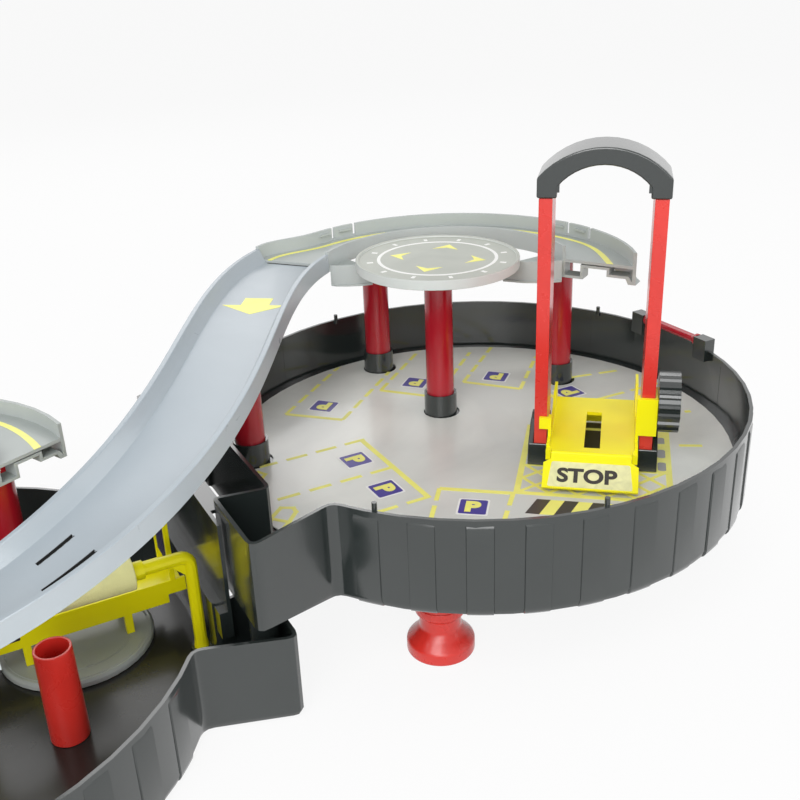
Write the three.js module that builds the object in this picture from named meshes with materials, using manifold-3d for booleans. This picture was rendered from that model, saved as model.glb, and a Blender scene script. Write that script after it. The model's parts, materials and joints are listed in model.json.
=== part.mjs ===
// Toy parking garage with lift: a round carry case opened into two trays, ring decks on
// columns, a curved ramp, a helipad, a hand-wheel lift and a car wash.
// Frame: millimetres, +Z up, ground at Z = 0. The origin is on the ground midway between the
// two tray centres, +X points to the raised tray and +Y away from the person playing.
import * as THREE from 'three';
import { mergeVertices } from 'three/addons/utils/BufferGeometryUtils.js';
import Module from 'manifold-3d';

const wasm = await Module();
wasm.setup();

// Clearances and boolean overruns
const FIT_GAP = 0.3;
const RUN_GAP = 0.6;
const OVERRUN = 2;
const ROOT_SINK = 1;
const SLIVER = 0.01;
const ROUND_STEPS = 20;
const degrees = THREE.MathUtils.degToRad;

// Both trays: a round shell with a flared neck, its end face recessed between two feet
const RIM_RADIUS = 190;
const TRAY_DEPTH = 60;
const TRAY_WALL = 2.4;
const TRAY_GAP = 32;
const TRAY_OFFSET = RIM_RADIUS + TRAY_GAP / 2;
const RAISED_UNDERSIDE = 68;
const ARC_STEPS = 46;
const SHEET_STEPS = 66;
const LEG_STEPS = 24;
const SHEET_DROP = 40.8;
const SHEET_THICK = 1;
const SHEET_MARGIN = 8;
const SHEET_RADIUS = RIM_RADIUS - SHEET_MARGIN;
const PLATE_THICK = 2.2;
const UNDER_ROUND = 7;
const UNDER_IN = 6;
const UNDER_LIP = 4;
const UNDER_MIDDLE_SHARE = 0.3;
const NECK_REACH = 28;
const NECK_END = RIM_RADIUS + NECK_REACH;
const NECK_LIFT = 3;
const RAISED_BELLY = 5.5;
const FOOT_HALF = 120.6;
const FOOT_ROUND = 6;
const JUNCTION_HALF = 100.8;
const JUNCTION_ROUND = 7;
const RECESS_DEPTH = 32;
const RECESS_MOUTH_HALF = 57;
const RECESS_BACK_HALF = 62;
const RECESS_ROUND = 3;
const LEAST_ROUND = 0.6;
const CORNER_STEPS = 3;

// Heights inside a tray, from its underside
const SHEET_TOP = TRAY_DEPTH - SHEET_DROP;
const PLATE_TOP = SHEET_TOP - SHEET_THICK - FIT_GAP;
const PLATE_UNDER = PLATE_TOP - PLATE_THICK;

// Columns, their black collars on the tray and the pegs that enter them from above
const COLUMN_FOOT_RADIUS = 10.75;
const COLUMN_TOP_RADIUS = 10.35;
const COLUMN_BORE = 8.4;
const COLLAR_WALL = 1.5;
const COLLAR_RISE = 17;
const PEG_LENGTH = 10;
const PEG_RADIUS = COLUMN_BORE - FIT_GAP;
const SHEET_HOLE_RADIUS = 14;
const SHEET_HOLE_SHIFT = 0.8;

// Ring decks
const DECK_CENTRE_Y = 37;
const DECK_RISE = 116.8;
const DECK_BACK_MARGIN = 18.5;
const DECK_WIDTH = 46.5;
const DECK_OUTER_RADIUS = RIM_RADIUS - DECK_CENTRE_Y - DECK_BACK_MARGIN;
const DECK_INNER_RADIUS = DECK_OUTER_RADIUS - DECK_WIDTH;
const DECK_WALL_RISE = 10;
const DECK_WALL = 2.6;
const DECK_FLOOR_THICK = 2.2;
const DECK_OUTER_SKIRT = 24;
const DECK_INNER_SKIRT = 14;
const DECK_STEPS = 22;
const THROAT_STEPS = 6;
const THROAT_HANDLE_SHARE = 0.4;
const UPPER_DECK_OUTER_SPAN = [degrees(-30.8), degrees(112)];
const UPPER_DECK_INNER_SPAN = [degrees(-14.2), degrees(100)];
const LOWER_DECK_OUTER_SPAN = [degrees(9), degrees(225)];
const LOWER_DECK_INNER_SPAN = [degrees(0), degrees(225)];

// The stepped frame under the open end of a deck
const END_FRAME_DEPTH = 12;
const END_FRAME_THICK = 2;
const END_BOX_RISE = 9;
const END_BOX_FROM_SHARE = 0.29;
const END_BOX_TO_SHARE = 0.61;
const END_STEP_SHARE = 0.9;
const END_STEP_RISE = 4;

// Helipad and the deck arms that it rests on
const PAD_RISE = 123.3;
const PAD_SHIFT = 15;
const PAD_MARGIN = 13;
const PAD_RADIUS = DECK_INNER_RADIUS - PAD_SHIFT - PAD_MARGIN;
const PAD_THICK = 6;
const PAD_LIP = 1.4;
const PAD_LIP_WIDTH = 2.4;
const PAD_STEPS = 40;
const ARM_DEPTH = 16;
const ARM_LEDGE_DROP = 3;
const ARM_LIP = 1.5;

// The lines of the arms, each point as a share of the deck's inner radius and an angle
const RIGHT_ARM_LINE_SHARES = [[0.5456, -1.19], [0.6754, -12.63], [0.8338, -17.45], [0.9775, -17.59]];
const RIGHT_ARM_ROOT_SHARES = [[1.0119, 1.93], [1.0109, -3.48], [1.0112, -8.53], [1.0099, -13.27]];
const LEFT_ARM_LINE_SHARES = [[1.0006, 136.15], [0.9, 135], [0.8042, 132.71], [0.7046, 127.79]];
const ARM_ROOT_DEPTH = 0.9;

// Curved ramp: its plan follows a heading that changes along the run
const RAMP_WIDTH = 62;
const RAMP_RIM = 3.5;
const RAMP_WALL_RISE = 10;
const RAMP_SLOPE_IN = 9;
const RAMP_SKIRT = 13.4;
const RAMP_WALL = 2.2;
const RAMP_FLOOR_THICK = 2.2;
const RAMP_LENGTH = 400;
const RAMP_START_SHARE = 0.9284;
const RAMP_START_ANGLE = degrees(143.14);
const RAMP_HEADING = degrees(-136);
const RAMP_FIRST_TURN = degrees(88);
const RAMP_SECOND_TURN = degrees(-156);
const RAMP_SEAM_DROP = 2;
const RAMP_FIRST_DROP = 7;
const RAMP_SECOND_DROP = 77;
const RAMP_TOP_SHARE = -0.05;
const RAMP_FOOT_SHARE = 0.88;
const RAMP_STEPS = 26;
const RAMP_PATH_STEPS = 200;
const BOSS_RADIUS = 13;
const BOSS_DEPTH = 16;

// Where the columns stand: shares of a road's width or run, and angles about a deck's centre
const RAMP_COLUMN_SHARE = 0.204;
const RAMP_COLUMN_SIDE = -5.7;
const BACK_COLUMN_SHARE = 0.71;
const BACK_COLUMN_ANGLE = degrees(90);
const RIGHT_COLUMN_SHARE = 0.57;
const RIGHT_COLUMN_ANGLE = degrees(9);
const LOWER_BACK_SHARE = 0.645;
const LOWER_LEFT_ANGLE = degrees(171);
const LOWER_RIGHT_SHARE = 0.51;
const LOWER_RIGHT_ANGLE = degrees(36);
const FRONT_COLUMN_STEPS = 4;

// Legs under the raised tray
const LEG_INSET = 54.6;
const LEG_CIRCLE = RIM_RADIUS - LEG_INSET;
const LEG_ANGLES = [degrees(-132.2), degrees(132.2), 0];
const LEG_FLANGE_RADIUS = 22.2;
const LEG_FLANGE_EDGE = 8;
const LEG_SHOULDER_RADIUS = 17;
const LEG_SHOULDER_HEIGHT = 13.5;
const LEG_NECK_RADIUS = 13.5;
const LEG_NECK_FOOT = 18;
const LEG_NECK_HEIGHT = 27;
const LEG_BAND_RADIUS = 16.4;
const LEG_BAND_HEIGHT = 35;
const LEG_CUP_RADIUS = 15.6;
const LEG_CUP_WALL = 2.4;
const LEG_HEIGHT = 42;
const LEG_CUP_FLOOR = 29;

// Tall tongue of the lower tray that stands in its recess, in front of the raised neck
const TONGUE_DEPTH = 6.6;
const TONGUE_SHELF = 9;
const TONGUE_SHELF_HALF = 55;
const TONGUE_FOOT = 41;
const TONGUE_TOP = 118.5;
const TONGUE_HALF = 74;

// Blocks of the lower neck on which the raised neck rests
const NECK_REST_RADIUS = 9;
const NECK_REST_SPREAD = 92;

// Carry handles on the far rims
const HANDLE_INSET = 6;
const HANDLE_REACH = RIM_RADIUS - HANDLE_INSET;
const HANDLE_RISE = 5.1;
const HANDLE_HALF = 29;
const HANDLE_GRIP_RADIUS = 3.2;
const HANDLE_FLARE_RADIUS = 4.7;
const HANDLE_FLARE_LENGTH = 4;
const HANDLE_PIN_RADIUS = 2;
const HANDLE_PIN_LENGTH = 5;
const BRACKET_IN = 5;
const BRACKET_OUT = 4.6;
const BRACKET_LENGTH = 13;
const BRACKET_RISE = 9;
const BRACKET_DROP = 8;

// Locating pegs on the rims
const RIM_PEG_RADIUS = 1.6;
const RIM_PEG_RISE = 5;
const RIM_PEG_DROP = 3;
const RIM_PEG_ANGLES = [degrees(-140), degrees(-99), degrees(24), degrees(98)];

// Lift: its own frame stands on the sheet, +Y pointing to the deck's open end
const LIFT_SHIFT = 44;
const LIFT_INSET = 110.6;
const LIFT_PLACE = [TRAY_OFFSET + LIFT_SHIFT, LIFT_INSET - RIM_RADIUS];
const LIFT_TURN = degrees(-40);
const POST_INNER = 31;
const POST_WIDTH = 8.6;
const POST_FRONT = -4;
const POST_DEPTH = 35;
const POST_WALL = 2.5;
const ARCH_FOOT_RISE = 185.3;
const SOCKET_WALL = 1;
const SOCKET_OUTSIDE = 3.6;
const SOCKET_HEIGHT = 24.4;
const SOCKET_FRONT_HEIGHT = 15;
const SOCKET_FLOOR = 3;
const SOCKET_TOE = 3;
const ARCH_HALF = 41;
const ARCH_LEG = 12.6;
const ARCH_SHOULDER = 12.5;
const ARCH_APEX = 31.5;
const ARCH_THICK = 11;
const ARCH_INNER_SHOULDER = 7;
const ARCH_DEPTH = 38;
const ARCH_STEPS = 14;
const ARCH_PEG_DEPTH = 8;

// Lift platform, its flap and what slides on the posts
const PLATFORM_RISE = 18.8;
const PLATFORM_HALF = 30;
const PLATFORM_FRONT = -20;
const PLATFORM_BACK = 69;
const PLATFORM_THICK = 2.5;
const SLOT_HALF = 5.3;
const SLOT_FRONT = -14;
const SLOT_BACK = 44;
const KERB_WALL = 2;
const KERB_RISE = 4;
const LEFT_WING_RISE = 12;
const RIGHT_WING_RISE = 21;
const WING_LENGTH = 36;
const SLIDER_THICK = 2.9;
const SLIDER_FOOT_RISE = 26.8;
const SLIDER_TOP_RISE = 53.4;
const SLIDER_DEPTH = 22;
const CHEEK_WALL = 1.6;
const LUG_FOOT_RISE = 27.8;
const LUG_TOP_RISE = 36;
const LUG_DEPTH = 7;
const LUG_REACH = 6;
const FLAP_LENGTH = 27;
const FLAP_THICK = 2;
const FLAP_DROP_ANGLE = degrees(33);
const FLAP_BARREL_RADIUS = 2.3;
const FLAP_PIN_RADIUS = 1.1;
const FLAP_SIDE_GAP = 5.6;
const FLAP_SIDE_EDGE = 3;
const EAR_WIDTH = 3.4;
const EAR_RADIUS = 3.3;

// Rack and pinion
const PINION_TEETH = 12;
const PINION_PITCH_RADIUS = 9;
const TOOTH_PITCH = 2 * Math.PI * PINION_PITCH_RADIUS / PINION_TEETH;
const RACK_ADDENDUM = 1.2;
const PINION_ADDENDUM = 1;
const PINION_DEDENDUM = 1.4;
const RACK_PITCH_HALF_SHARE = 0.21;
const RACK_TIP_HALF_SHARE = 0.12;
const PINION_ROOT_HALF_SHARE = 0.27;
const PINION_PITCH_HALF_SHARE = 0.18;
const PINION_TIP_HALF_SHARE = 0.07;
const RACK_TEETH_BELOW = 3;
const RACK_TEETH_ABOVE = 26;
const PINION_WIDTH = 5.2;
const AXLE_RISE = 45.8;
const AXLE_RADIUS = 2.2;
const WHEEL_RADIUS = 20.5;
const WHEEL_WIDTH = 14;
const WHEEL_RIBS = 18;
const WHEEL_RIB_DEPTH = 1.4;
const WHEEL_RIB_POINTS = 4;
const WHEEL_RIB_LEAN_SHARE = 0.3;
const WHEEL_DISH = 3;
const WHEEL_DISH_RADIUS = 14;

// Car wash on the lower tray
const TURNTABLE_PLACE = [-95, 0];
const TURNTABLE_RADIUS = 48;
const TURNTABLE_RISE = 5;
const TURNTABLE_PIN_RADIUS = 5;
const TURNTABLE_EDGE = 1.5;
const TRACK_HALF = 70;
const TRACK_HALF_WIDTH = 16;
const TRACK_WALL = 2;
const TRACK_RISE = 19;
const TRACK_WALL_RISE = 16;
const TRACK_FLOOR_THICK = 2;
const TRACK_LEG_REACH = 31;
const TRACK_LEG_SIZE = 5;
const TRACK_STEP_LENGTH = 12;
const TRACK_STEP_RISE = 6;
const GATE_PLACE = 62;
const GATE_POST = 3.2;
const GATE_RISE = 44;
const GATE_BAR = 5;
const STRIP_COUNT = 6;
const STRIP_WIDTH_SHARE = 0.8;
const STRIP_THICK = 1.2;
const STRIP_LENGTH = 30;
const STRIP_BAND = 3;
const PIPE_LINE = -46.5;
const PIPE_RADIUS = 4;
const PIPE_REACH = 67.4;
const PIPE_RISE = 68.4;
const PIPE_BEND = 7;
const PIPE_SIDES = 12;
const PIPE_BEND_STEPS = 5;
const PIPE_FOOT_RADIUS = 4.6;
const PIPE_FOOT_HEIGHT = 4;
const PIPE_SOCKET_RADIUS = 6.6;
const PIPE_SOCKET_RISE = 2.2;
const KNOB_RADIUS = 5.6;
const KNOB_LENGTH = 6;
const GUSSET = 16;
const GUSSET_THICK = 2.4;
const ROLLER_HALF = 33;
const ROLLER_RADIUS = 10.5;
const ROLLER_PIN_RADIUS = 1.8;
const ROLLER_PIN_LENGTH = 5;
const TUBE_PLACE = [-116.5, -83.5];
const TUBE_FOOT_RADIUS = 11;
const TUBE_MOUTH_RADIUS = 10.4;
const TUBE_WALL = 1.6;
const TUBE_HEIGHT = 60;

// Finishes
const FINISH = {
  black: { color: 0x1b1d1e, roughness: 0.25, metalness: 0 },
  lowerSheet: { color: 0x2a2b2b, roughness: 0.3, metalness: 0 },
  sheet: { color: 0xb4b4b2, roughness: 0.3, metalness: 0 },
  deck: { color: 0x959b97, roughness: 0.45, metalness: 0 },
  ramp: { color: 0xa9b4ba, roughness: 0.35, metalness: 0.1 },
  pad: { color: 0xa5a9a2, roughness: 0.45, metalness: 0 },
  columnRed: { color: 0xb01c28, roughness: 0.25, metalness: 0 },
  postRed: { color: 0xe63c32, roughness: 0.3, metalness: 0 },
  yellow: { color: 0xf6e60c, roughness: 0.35, metalness: 0 },
  rollerYellow: { color: 0xf6ee86, roughness: 0.6, metalness: 0 },
  navy: { color: 0x23245c, roughness: 0.5, metalness: 0 },
};

const group = new THREE.Group();

// Adds a named mesh with a material of its own to a parent.
function piece(parent, name, geometry, finish) {
  const mesh = new THREE.Mesh(geometry, new THREE.MeshStandardMaterial(FINISH[finish]));
  mesh.name = name;
  parent.add(mesh);
  return mesh;
}

// Turns a closed geometry into a solid that can be joined and cut.
function solidOf(geometry) {
  const bare = geometry.clone();
  bare.deleteAttribute('normal');
  bare.deleteAttribute('uv');
  const merged = mergeVertices(bare);
  return new wasm.Manifold(new wasm.Mesh({
    numProp: 3,
    vertProperties: Float32Array.from(merged.attributes.position.array),
    triVerts: Uint32Array.from(merged.index.array),
  }));
}

// Turns a solid back into a geometry, without the slivers that booleans leave.
function geometryOf(solid) {
  const mesh = solid.simplify(SLIVER).getMesh();
  const geometry = new THREE.BufferGeometry();
  geometry.setAttribute('position', new THREE.BufferAttribute(Float32Array.from(mesh.vertProperties), 3));
  geometry.setIndex(Array.from(mesh.triVerts));
  geometry.computeVertexNormals();
  return geometry;
}

function joined(...geometries) {
  return geometryOf(geometries.map(solidOf).reduce((sum, next) => sum.add(next)));
}

function cut(geometry, ...tools) {
  return geometryOf(tools.map(solidOf).reduce((rest, tool) => rest.subtract(tool), solidOf(geometry)));
}

// A box from its low corner to its high corner.
function boxBetween(low, high) {
  const size = high.map((value, axis) => value - low[axis]);
  const box = new THREE.BoxGeometry(...size);
  return box.translate(...low.map((value, axis) => value + size[axis] / 2));
}

// A solid turned about +Z from a profile of radius and height pairs that closes on itself.
function turned(profile, steps = ROUND_STEPS) {
  const points = profile.map(([radius, height]) => new THREE.Vector2(radius, height));
  return new THREE.LatheGeometry(points, steps).rotateX(Math.PI / 2);
}

// A plain cylinder on +Z between two heights.
function rod(radius, low, high, steps = ROUND_STEPS) {
  return turned([[0, low], [radius, low], [radius, high], [0, high]], steps);
}

// A tube on +Z between two heights.
function tube(outer, bore, low, high) {
  return turned([[bore, low], [outer, low], [outer, high], [bore, high], [bore, low]]);
}

// An outline in the XY plane, extruded between two heights.
function slab(outline, low, high, holes = []) {
  const shape = new THREE.Shape(outline.map(([x, y]) => new THREE.Vector2(x, y)));
  shape.holes = holes.map((hole) => new THREE.Path(hole.map(([x, y]) => new THREE.Vector2(x, y))));
  const geometry = new THREE.ExtrudeGeometry(shape, { depth: high - low, bevelEnabled: false });
  return geometry.translate(0, 0, low);
}

// An outline in the XZ plane, extruded between two Y values.
function slabAlongY(outline, front, back) {
  const geometry = slab(outline.map(([x, z]) => [x, -z]), front, back);
  return geometry.rotateX(-Math.PI / 2);
}

// An outline in the YZ plane, extruded between two X values.
function slabAlongX(outline, left, right) {
  return slab(outline, left, right).rotateY(Math.PI / 2).rotateX(Math.PI / 2);
}

function circle([x, y], radius, steps) {
  return Array.from({ length: steps }, (_, i) => {
    const angle = 2 * Math.PI * i / steps;
    return [x + radius * Math.cos(angle), y + radius * Math.sin(angle)];
  });
}

function arc([x, y], radius, [from, to], steps) {
  return Array.from({ length: steps + 1 }, (_, i) => {
    const angle = from + (to - from) * i / steps;
    return [x + radius * Math.cos(angle), y + radius * Math.sin(angle)];
  });
}

// The point at a radius and an angle about a centre.
function polar([x, y], radius, angle) {
  return [x + radius * Math.cos(angle), y + radius * Math.sin(angle)];
}

// Triangles across one end of a loft, wound as the outline runs.
function capFaces(outline) {
  const contour = outline.map(([x, y]) => new THREE.Vector2(x, y));
  const faces = THREE.ShapeUtils.triangulateShape(contour, []);
  const area = faces.reduce((sum, [a, b, c]) => sum
    + THREE.ShapeUtils.area([contour[a], contour[b], contour[c]]), 0);
  const same = Math.sign(area) === Math.sign(THREE.ShapeUtils.area(contour));
  return same ? faces : faces.map(([a, b, c]) => [a, c, b]);
}

function signedVolume(points, faces) {
  const a = new THREE.Vector3();
  return faces.reduce((sum, [i, j, k]) => {
    a.set(...points[i]);
    const b = new THREE.Vector3(...points[j]);
    return sum + a.dot(b.cross(new THREE.Vector3(...points[k])));
  }, 0);
}

// A closed solid through rings of equally many points, with a flat outline for its two ends.
function loft(rings, startOutline, endOutline) {
  const count = rings[0].length;
  const points = rings.flat();
  const last = (rings.length - 1) * count;
  const faces = [];
  for (let ring = 0; ring < last; ring += count) {
    for (let i = 0; i < count; i += 1) {
      const next = (i + 1) % count;
      faces.push([ring + i, ring + next, ring + count + next]);
      faces.push([ring + i, ring + count + next, ring + count + i]);
    }
  }
  capFaces(startOutline).forEach(([a, b, c]) => faces.push([a, c, b]));
  capFaces(endOutline).forEach(([a, b, c]) => faces.push([last + a, last + b, last + c]));
  const outward = signedVolume(points, faces) > 0;
  const geometry = new THREE.BufferGeometry();
  geometry.setAttribute('position', new THREE.BufferAttribute(Float32Array.from(points.flat()), 3));
  geometry.setIndex((outward ? faces : faces.map(([a, b, c]) => [a, c, b])).flat());
  geometry.computeVertexNormals();
  return geometry;
}

// Moves every edge of a counter-clockwise loop inwards by one distance.
function insetLoop(corners, distance) {
  return corners.map((corner, i) => {
    const before = corners[(i + corners.length - 1) % corners.length];
    const after = corners[(i + 1) % corners.length];
    const arriving = new THREE.Vector2(corner.x - before.x, corner.y - before.y).normalize();
    const leaving = new THREE.Vector2(after.x - corner.x, after.y - corner.y).normalize();
    const reach = distance / (1 + arriving.dot(leaving));
    const turn = arriving.cross(leaving);
    return {
      x: corner.x - (arriving.y + leaving.y) * reach,
      y: corner.y + (arriving.x + leaving.x) * reach,
      round: corner.round && Math.max(corner.round - Math.sign(turn) * distance, LEAST_ROUND),
    };
  });
}

// Replaces each corner that has a rounding by a short curve.
function roundLoop(corners) {
  return corners.flatMap((corner, i) => {
    if (!corner.round) {
      return [[corner.x, corner.y]];
    }
    const before = corners[(i + corners.length - 1) % corners.length];
    const after = corners[(i + 1) % corners.length];
    const arriving = new THREE.Vector2(corner.x - before.x, corner.y - before.y).normalize();
    const leaving = new THREE.Vector2(after.x - corner.x, after.y - corner.y).normalize();
    const length = corner.round * Math.tan(Math.acos(arriving.dot(leaving)) / 2);
    const middle = new THREE.Vector2(corner.x, corner.y);
    const curve = new THREE.QuadraticBezierCurve(
      middle.clone().addScaledVector(arriving, -length),
      middle,
      middle.clone().addScaledVector(leaving, length),
    );
    return curve.getPoints(CORNER_STEPS).map((point) => [point.x, point.y]);
  });
}

// Tray outline in its own frame: the neck points to -X and the far end to +X.
function trayCorners() {
  const junction = Math.asin(JUNCTION_HALF / RIM_RADIUS);
  const rim = arc([0, 0], RIM_RADIUS, [junction - Math.PI, Math.PI - junction], ARC_STEPS);
  const corners = rim.map(([x, y]) => ({ x, y, round: 0 }));
  corners[0].round = JUNCTION_ROUND;
  corners[ARC_STEPS].round = JUNCTION_ROUND;
  const recessBack = RECESS_DEPTH - NECK_END;
  corners.push(
    { x: -NECK_END, y: FOOT_HALF, round: FOOT_ROUND },
    { x: -NECK_END, y: RECESS_MOUTH_HALF, round: RECESS_ROUND },
    { x: recessBack, y: RECESS_BACK_HALF, round: RECESS_ROUND },
    { x: recessBack, y: -RECESS_BACK_HALF, round: RECESS_ROUND },
    { x: -NECK_END, y: -RECESS_MOUTH_HALF, round: RECESS_ROUND },
    { x: -NECK_END, y: -FOOT_HALF, round: FOOT_ROUND },
  );
  return corners;
}

// The shell: inside wall, rim, outside wall, rounded underside and the skirt below the floor.
// The belly is how far the round underside hangs below the tray's own zero height.
function trayShell(belly) {
  const corners = trayCorners();
  const neckStart = -Math.sqrt(RIM_RADIUS ** 2 - JUNCTION_HALF ** 2) - JUNCTION_ROUND;
  const middle = UNDER_ROUND * UNDER_MIDDLE_SHARE;
  const levels = [
    [TRAY_WALL, PLATE_TOP],
    [TRAY_WALL, TRAY_DEPTH],
    [0, TRAY_DEPTH],
    [0, UNDER_ROUND - belly],
    [UNDER_IN * UNDER_MIDDLE_SHARE, middle - belly],
    [UNDER_IN, -belly],
    [UNDER_IN + UNDER_LIP, -belly],
    [TRAY_WALL, UNDER_ROUND + TRAY_WALL - belly],
    [TRAY_WALL, PLATE_UNDER],
  ];
  const rings = levels.map(([inset, height]) => roundLoop(insetLoop(corners, inset))
    .map(([x, y]) => [x, y, x < neckStart ? Math.max(height, NECK_LIFT) : height]));
  return loft(rings, rings[0], rings[levels.length - 1]);
}

// Black collar that stands on the tray's floor plate round the foot of a column.
function collar([x, y]) {
  const bore = COLUMN_FOOT_RADIUS + FIT_GAP;
  const ring = tube(bore + COLLAR_WALL, bore, PLATE_TOP - ROOT_SINK, SHEET_TOP + COLLAR_RISE);
  return ring.translate(x, y, 0);
}

// One of the two brackets that hold a handle, and the hole for the handle's pin.
function bracket(side) {
  const near = side * (HANDLE_HALF + FIT_GAP);
  const far = side * (HANDLE_HALF + BRACKET_LENGTH);
  return boxBetween(
    [HANDLE_REACH - BRACKET_IN, Math.min(near, far), TRAY_DEPTH - BRACKET_DROP],
    [HANDLE_REACH + BRACKET_OUT, Math.max(near, far), TRAY_DEPTH + BRACKET_RISE],
  );
}

function pinHoles() {
  const reach = HANDLE_HALF + HANDLE_PIN_LENGTH + FIT_GAP;
  const hole = rod(HANDLE_PIN_RADIUS + FIT_GAP, -reach, reach).rotateX(Math.PI / 2);
  return hole.translate(HANDLE_REACH, 0, TRAY_DEPTH + HANDLE_RISE);
}

function rimPeg(angle) {
  const reach = RIM_RADIUS - TRAY_WALL - RIM_PEG_RADIUS / 2;
  const peg = rod(RIM_PEG_RADIUS, TRAY_DEPTH - RIM_PEG_DROP, TRAY_DEPTH + RIM_PEG_RISE, PIPE_SIDES);
  return peg.translate(reach * Math.cos(angle), reach * Math.sin(angle), 0);
}

// A whole tray with its collars and whatever else is moulded on it.
function tray(belly, collarPlaces, extras) {
  const body = joined(
    trayShell(belly),
    bracket(-1),
    bracket(1),
    ...RIM_PEG_ANGLES.map(rimPeg),
    ...collarPlaces.map(collar),
    ...extras,
  );
  return cut(body, pinHoles());
}

// The printed floor sheet, with a round hole for each collar and each further boss.
function floorSheet(collarPlaces, shift, bosses) {
  const holes = [...collarPlaces.map(([x, y]) => [x + shift, y, SHEET_HOLE_RADIUS]), ...bosses];
  const tools = holes.map(([x, y, radius]) => rod(radius, PLATE_TOP, TRAY_DEPTH).translate(x, y, 0));
  const rim = circle([0, 0], SHEET_RADIUS, SHEET_STEPS);
  return cut(slab(rim, PLATE_TOP + FIT_GAP, SHEET_TOP), ...tools);
}

// Handle bar between the brackets of a tray, its grip waisted between two flares.
function handleBar() {
  const flare = HANDLE_HALF - HANDLE_FLARE_LENGTH;
  const end = HANDLE_HALF + HANDLE_PIN_LENGTH;
  const half = [
    [HANDLE_GRIP_RADIUS, flare],
    [HANDLE_FLARE_RADIUS, HANDLE_HALF - HANDLE_FLARE_LENGTH / 2],
    [HANDLE_FLARE_RADIUS, HANDLE_HALF],
    [HANDLE_PIN_RADIUS, HANDLE_HALF],
    [HANDLE_PIN_RADIUS, end],
    [0, end],
  ];
  const mirrored = half.map(([radius, height]) => [radius, -height]).reverse();
  return turned([...mirrored, ...half]).rotateX(Math.PI / 2);
}

// Heights of the two decks above the ground, and the centres of the decks and of the helipad
const raisedSheetTop = RAISED_UNDERSIDE + SHEET_TOP;
const upperWallTop = raisedSheetTop + DECK_RISE + DECK_WALL_RISE;
const lowerWallTop = SHEET_TOP + DECK_RISE + DECK_WALL_RISE;
const upperCentre = [TRAY_OFFSET, DECK_CENTRE_Y];
const lowerCentre = [-TRAY_OFFSET, DECK_CENTRE_Y];
const helipadColumn = [TRAY_OFFSET, DECK_CENTRE_Y + PAD_SHIFT];

// Ramp path: both wall tops and the heading at a share of the run.
function rampStation(share) {
  const steps = Math.max(1, Math.round(Math.abs(share) * RAMP_PATH_STEPS));
  const step = share / steps;
  const headingAt = (t) => RAMP_HEADING + RAMP_FIRST_TURN * t + RAMP_SECOND_TURN * t * t;
  let centre = polar(upperCentre, DECK_OUTER_RADIUS * RAMP_START_SHARE, RAMP_START_ANGLE);
  for (let i = 0; i < steps; i += 1) {
    centre = polar(centre, RAMP_LENGTH * step, headingAt((i + 0.5) * step));
  }
  const heading = headingAt(share);
  const run = Math.max(share, 0);
  return {
    left: polar(centre, RAMP_WIDTH / 2, heading + Math.PI / 2),
    right: polar(centre, RAMP_WIDTH / 2, heading - Math.PI / 2),
    centre,
    heading,
    top: upperWallTop - RAMP_SEAM_DROP - RAMP_FIRST_DROP * run - RAMP_SECOND_DROP * run * run,
  };
}

// A smooth side of the throat, from the end of a ring's arc to one side of the ramp.
function throatSide(ringEnd, ringAngle, rampEnd, rampAngle) {
  const start = new THREE.Vector2(...ringEnd);
  const end = new THREE.Vector2(...rampEnd);
  const handle = start.distanceTo(end) * THROAT_HANDLE_SHARE;
  const ringWay = new THREE.Vector2(-Math.sin(ringAngle), Math.cos(ringAngle));
  const rampWay = new THREE.Vector2(Math.cos(rampAngle), Math.sin(rampAngle));
  const curve = new THREE.CubicBezierCurve(
    start,
    start.clone().addScaledVector(ringWay, handle),
    end.clone().addScaledVector(rampWay, -handle),
    end,
  );
  return curve.getPoints(THROAT_STEPS).slice(1).map((point) => [point.x, point.y]);
}

// Stations of a deck: its ring, counter-clockwise from the open end, and its throat.
function deckStations(centre, innerSpan, outerSpan, ringSteps, rampInner, rampOuter, rampAngle, top) {
  const inner = arc(centre, DECK_INNER_RADIUS, innerSpan, ringSteps);
  const outer = arc(centre, DECK_OUTER_RADIUS, outerSpan, ringSteps);
  inner.push(...throatSide(inner[ringSteps], innerSpan[1], rampInner, rampAngle));
  outer.push(...throatSide(outer[ringSteps], outerSpan[1], rampOuter, rampAngle));
  return inner.map((left, i) => ({ left, right: outer[i], top }));
}

const rampHead = rampStation(RAMP_TOP_SHARE - FIT_GAP / RAMP_LENGTH);
const rampFoot = rampStation(RAMP_FOOT_SHARE + FIT_GAP / RAMP_LENGTH);
const upperStations = deckStations(
  upperCentre,
  UPPER_DECK_INNER_SPAN,
  UPPER_DECK_OUTER_SPAN,
  DECK_STEPS,
  rampHead.left,
  rampHead.right,
  rampHead.heading,
  upperWallTop,
);
const lowerStations = deckStations(
  lowerCentre,
  LOWER_DECK_INNER_SPAN,
  LOWER_DECK_OUTER_SPAN,
  DECK_STEPS + THROAT_STEPS,
  rampFoot.right,
  rampFoot.left,
  rampFoot.heading + Math.PI,
  lowerWallTop,
);

// Places of the columns under the decks' roads and the ramp
function underRoadAt(centre, share, angle) {
  return polar(centre, DECK_INNER_RADIUS + DECK_WIDTH * share, angle);
}

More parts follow.
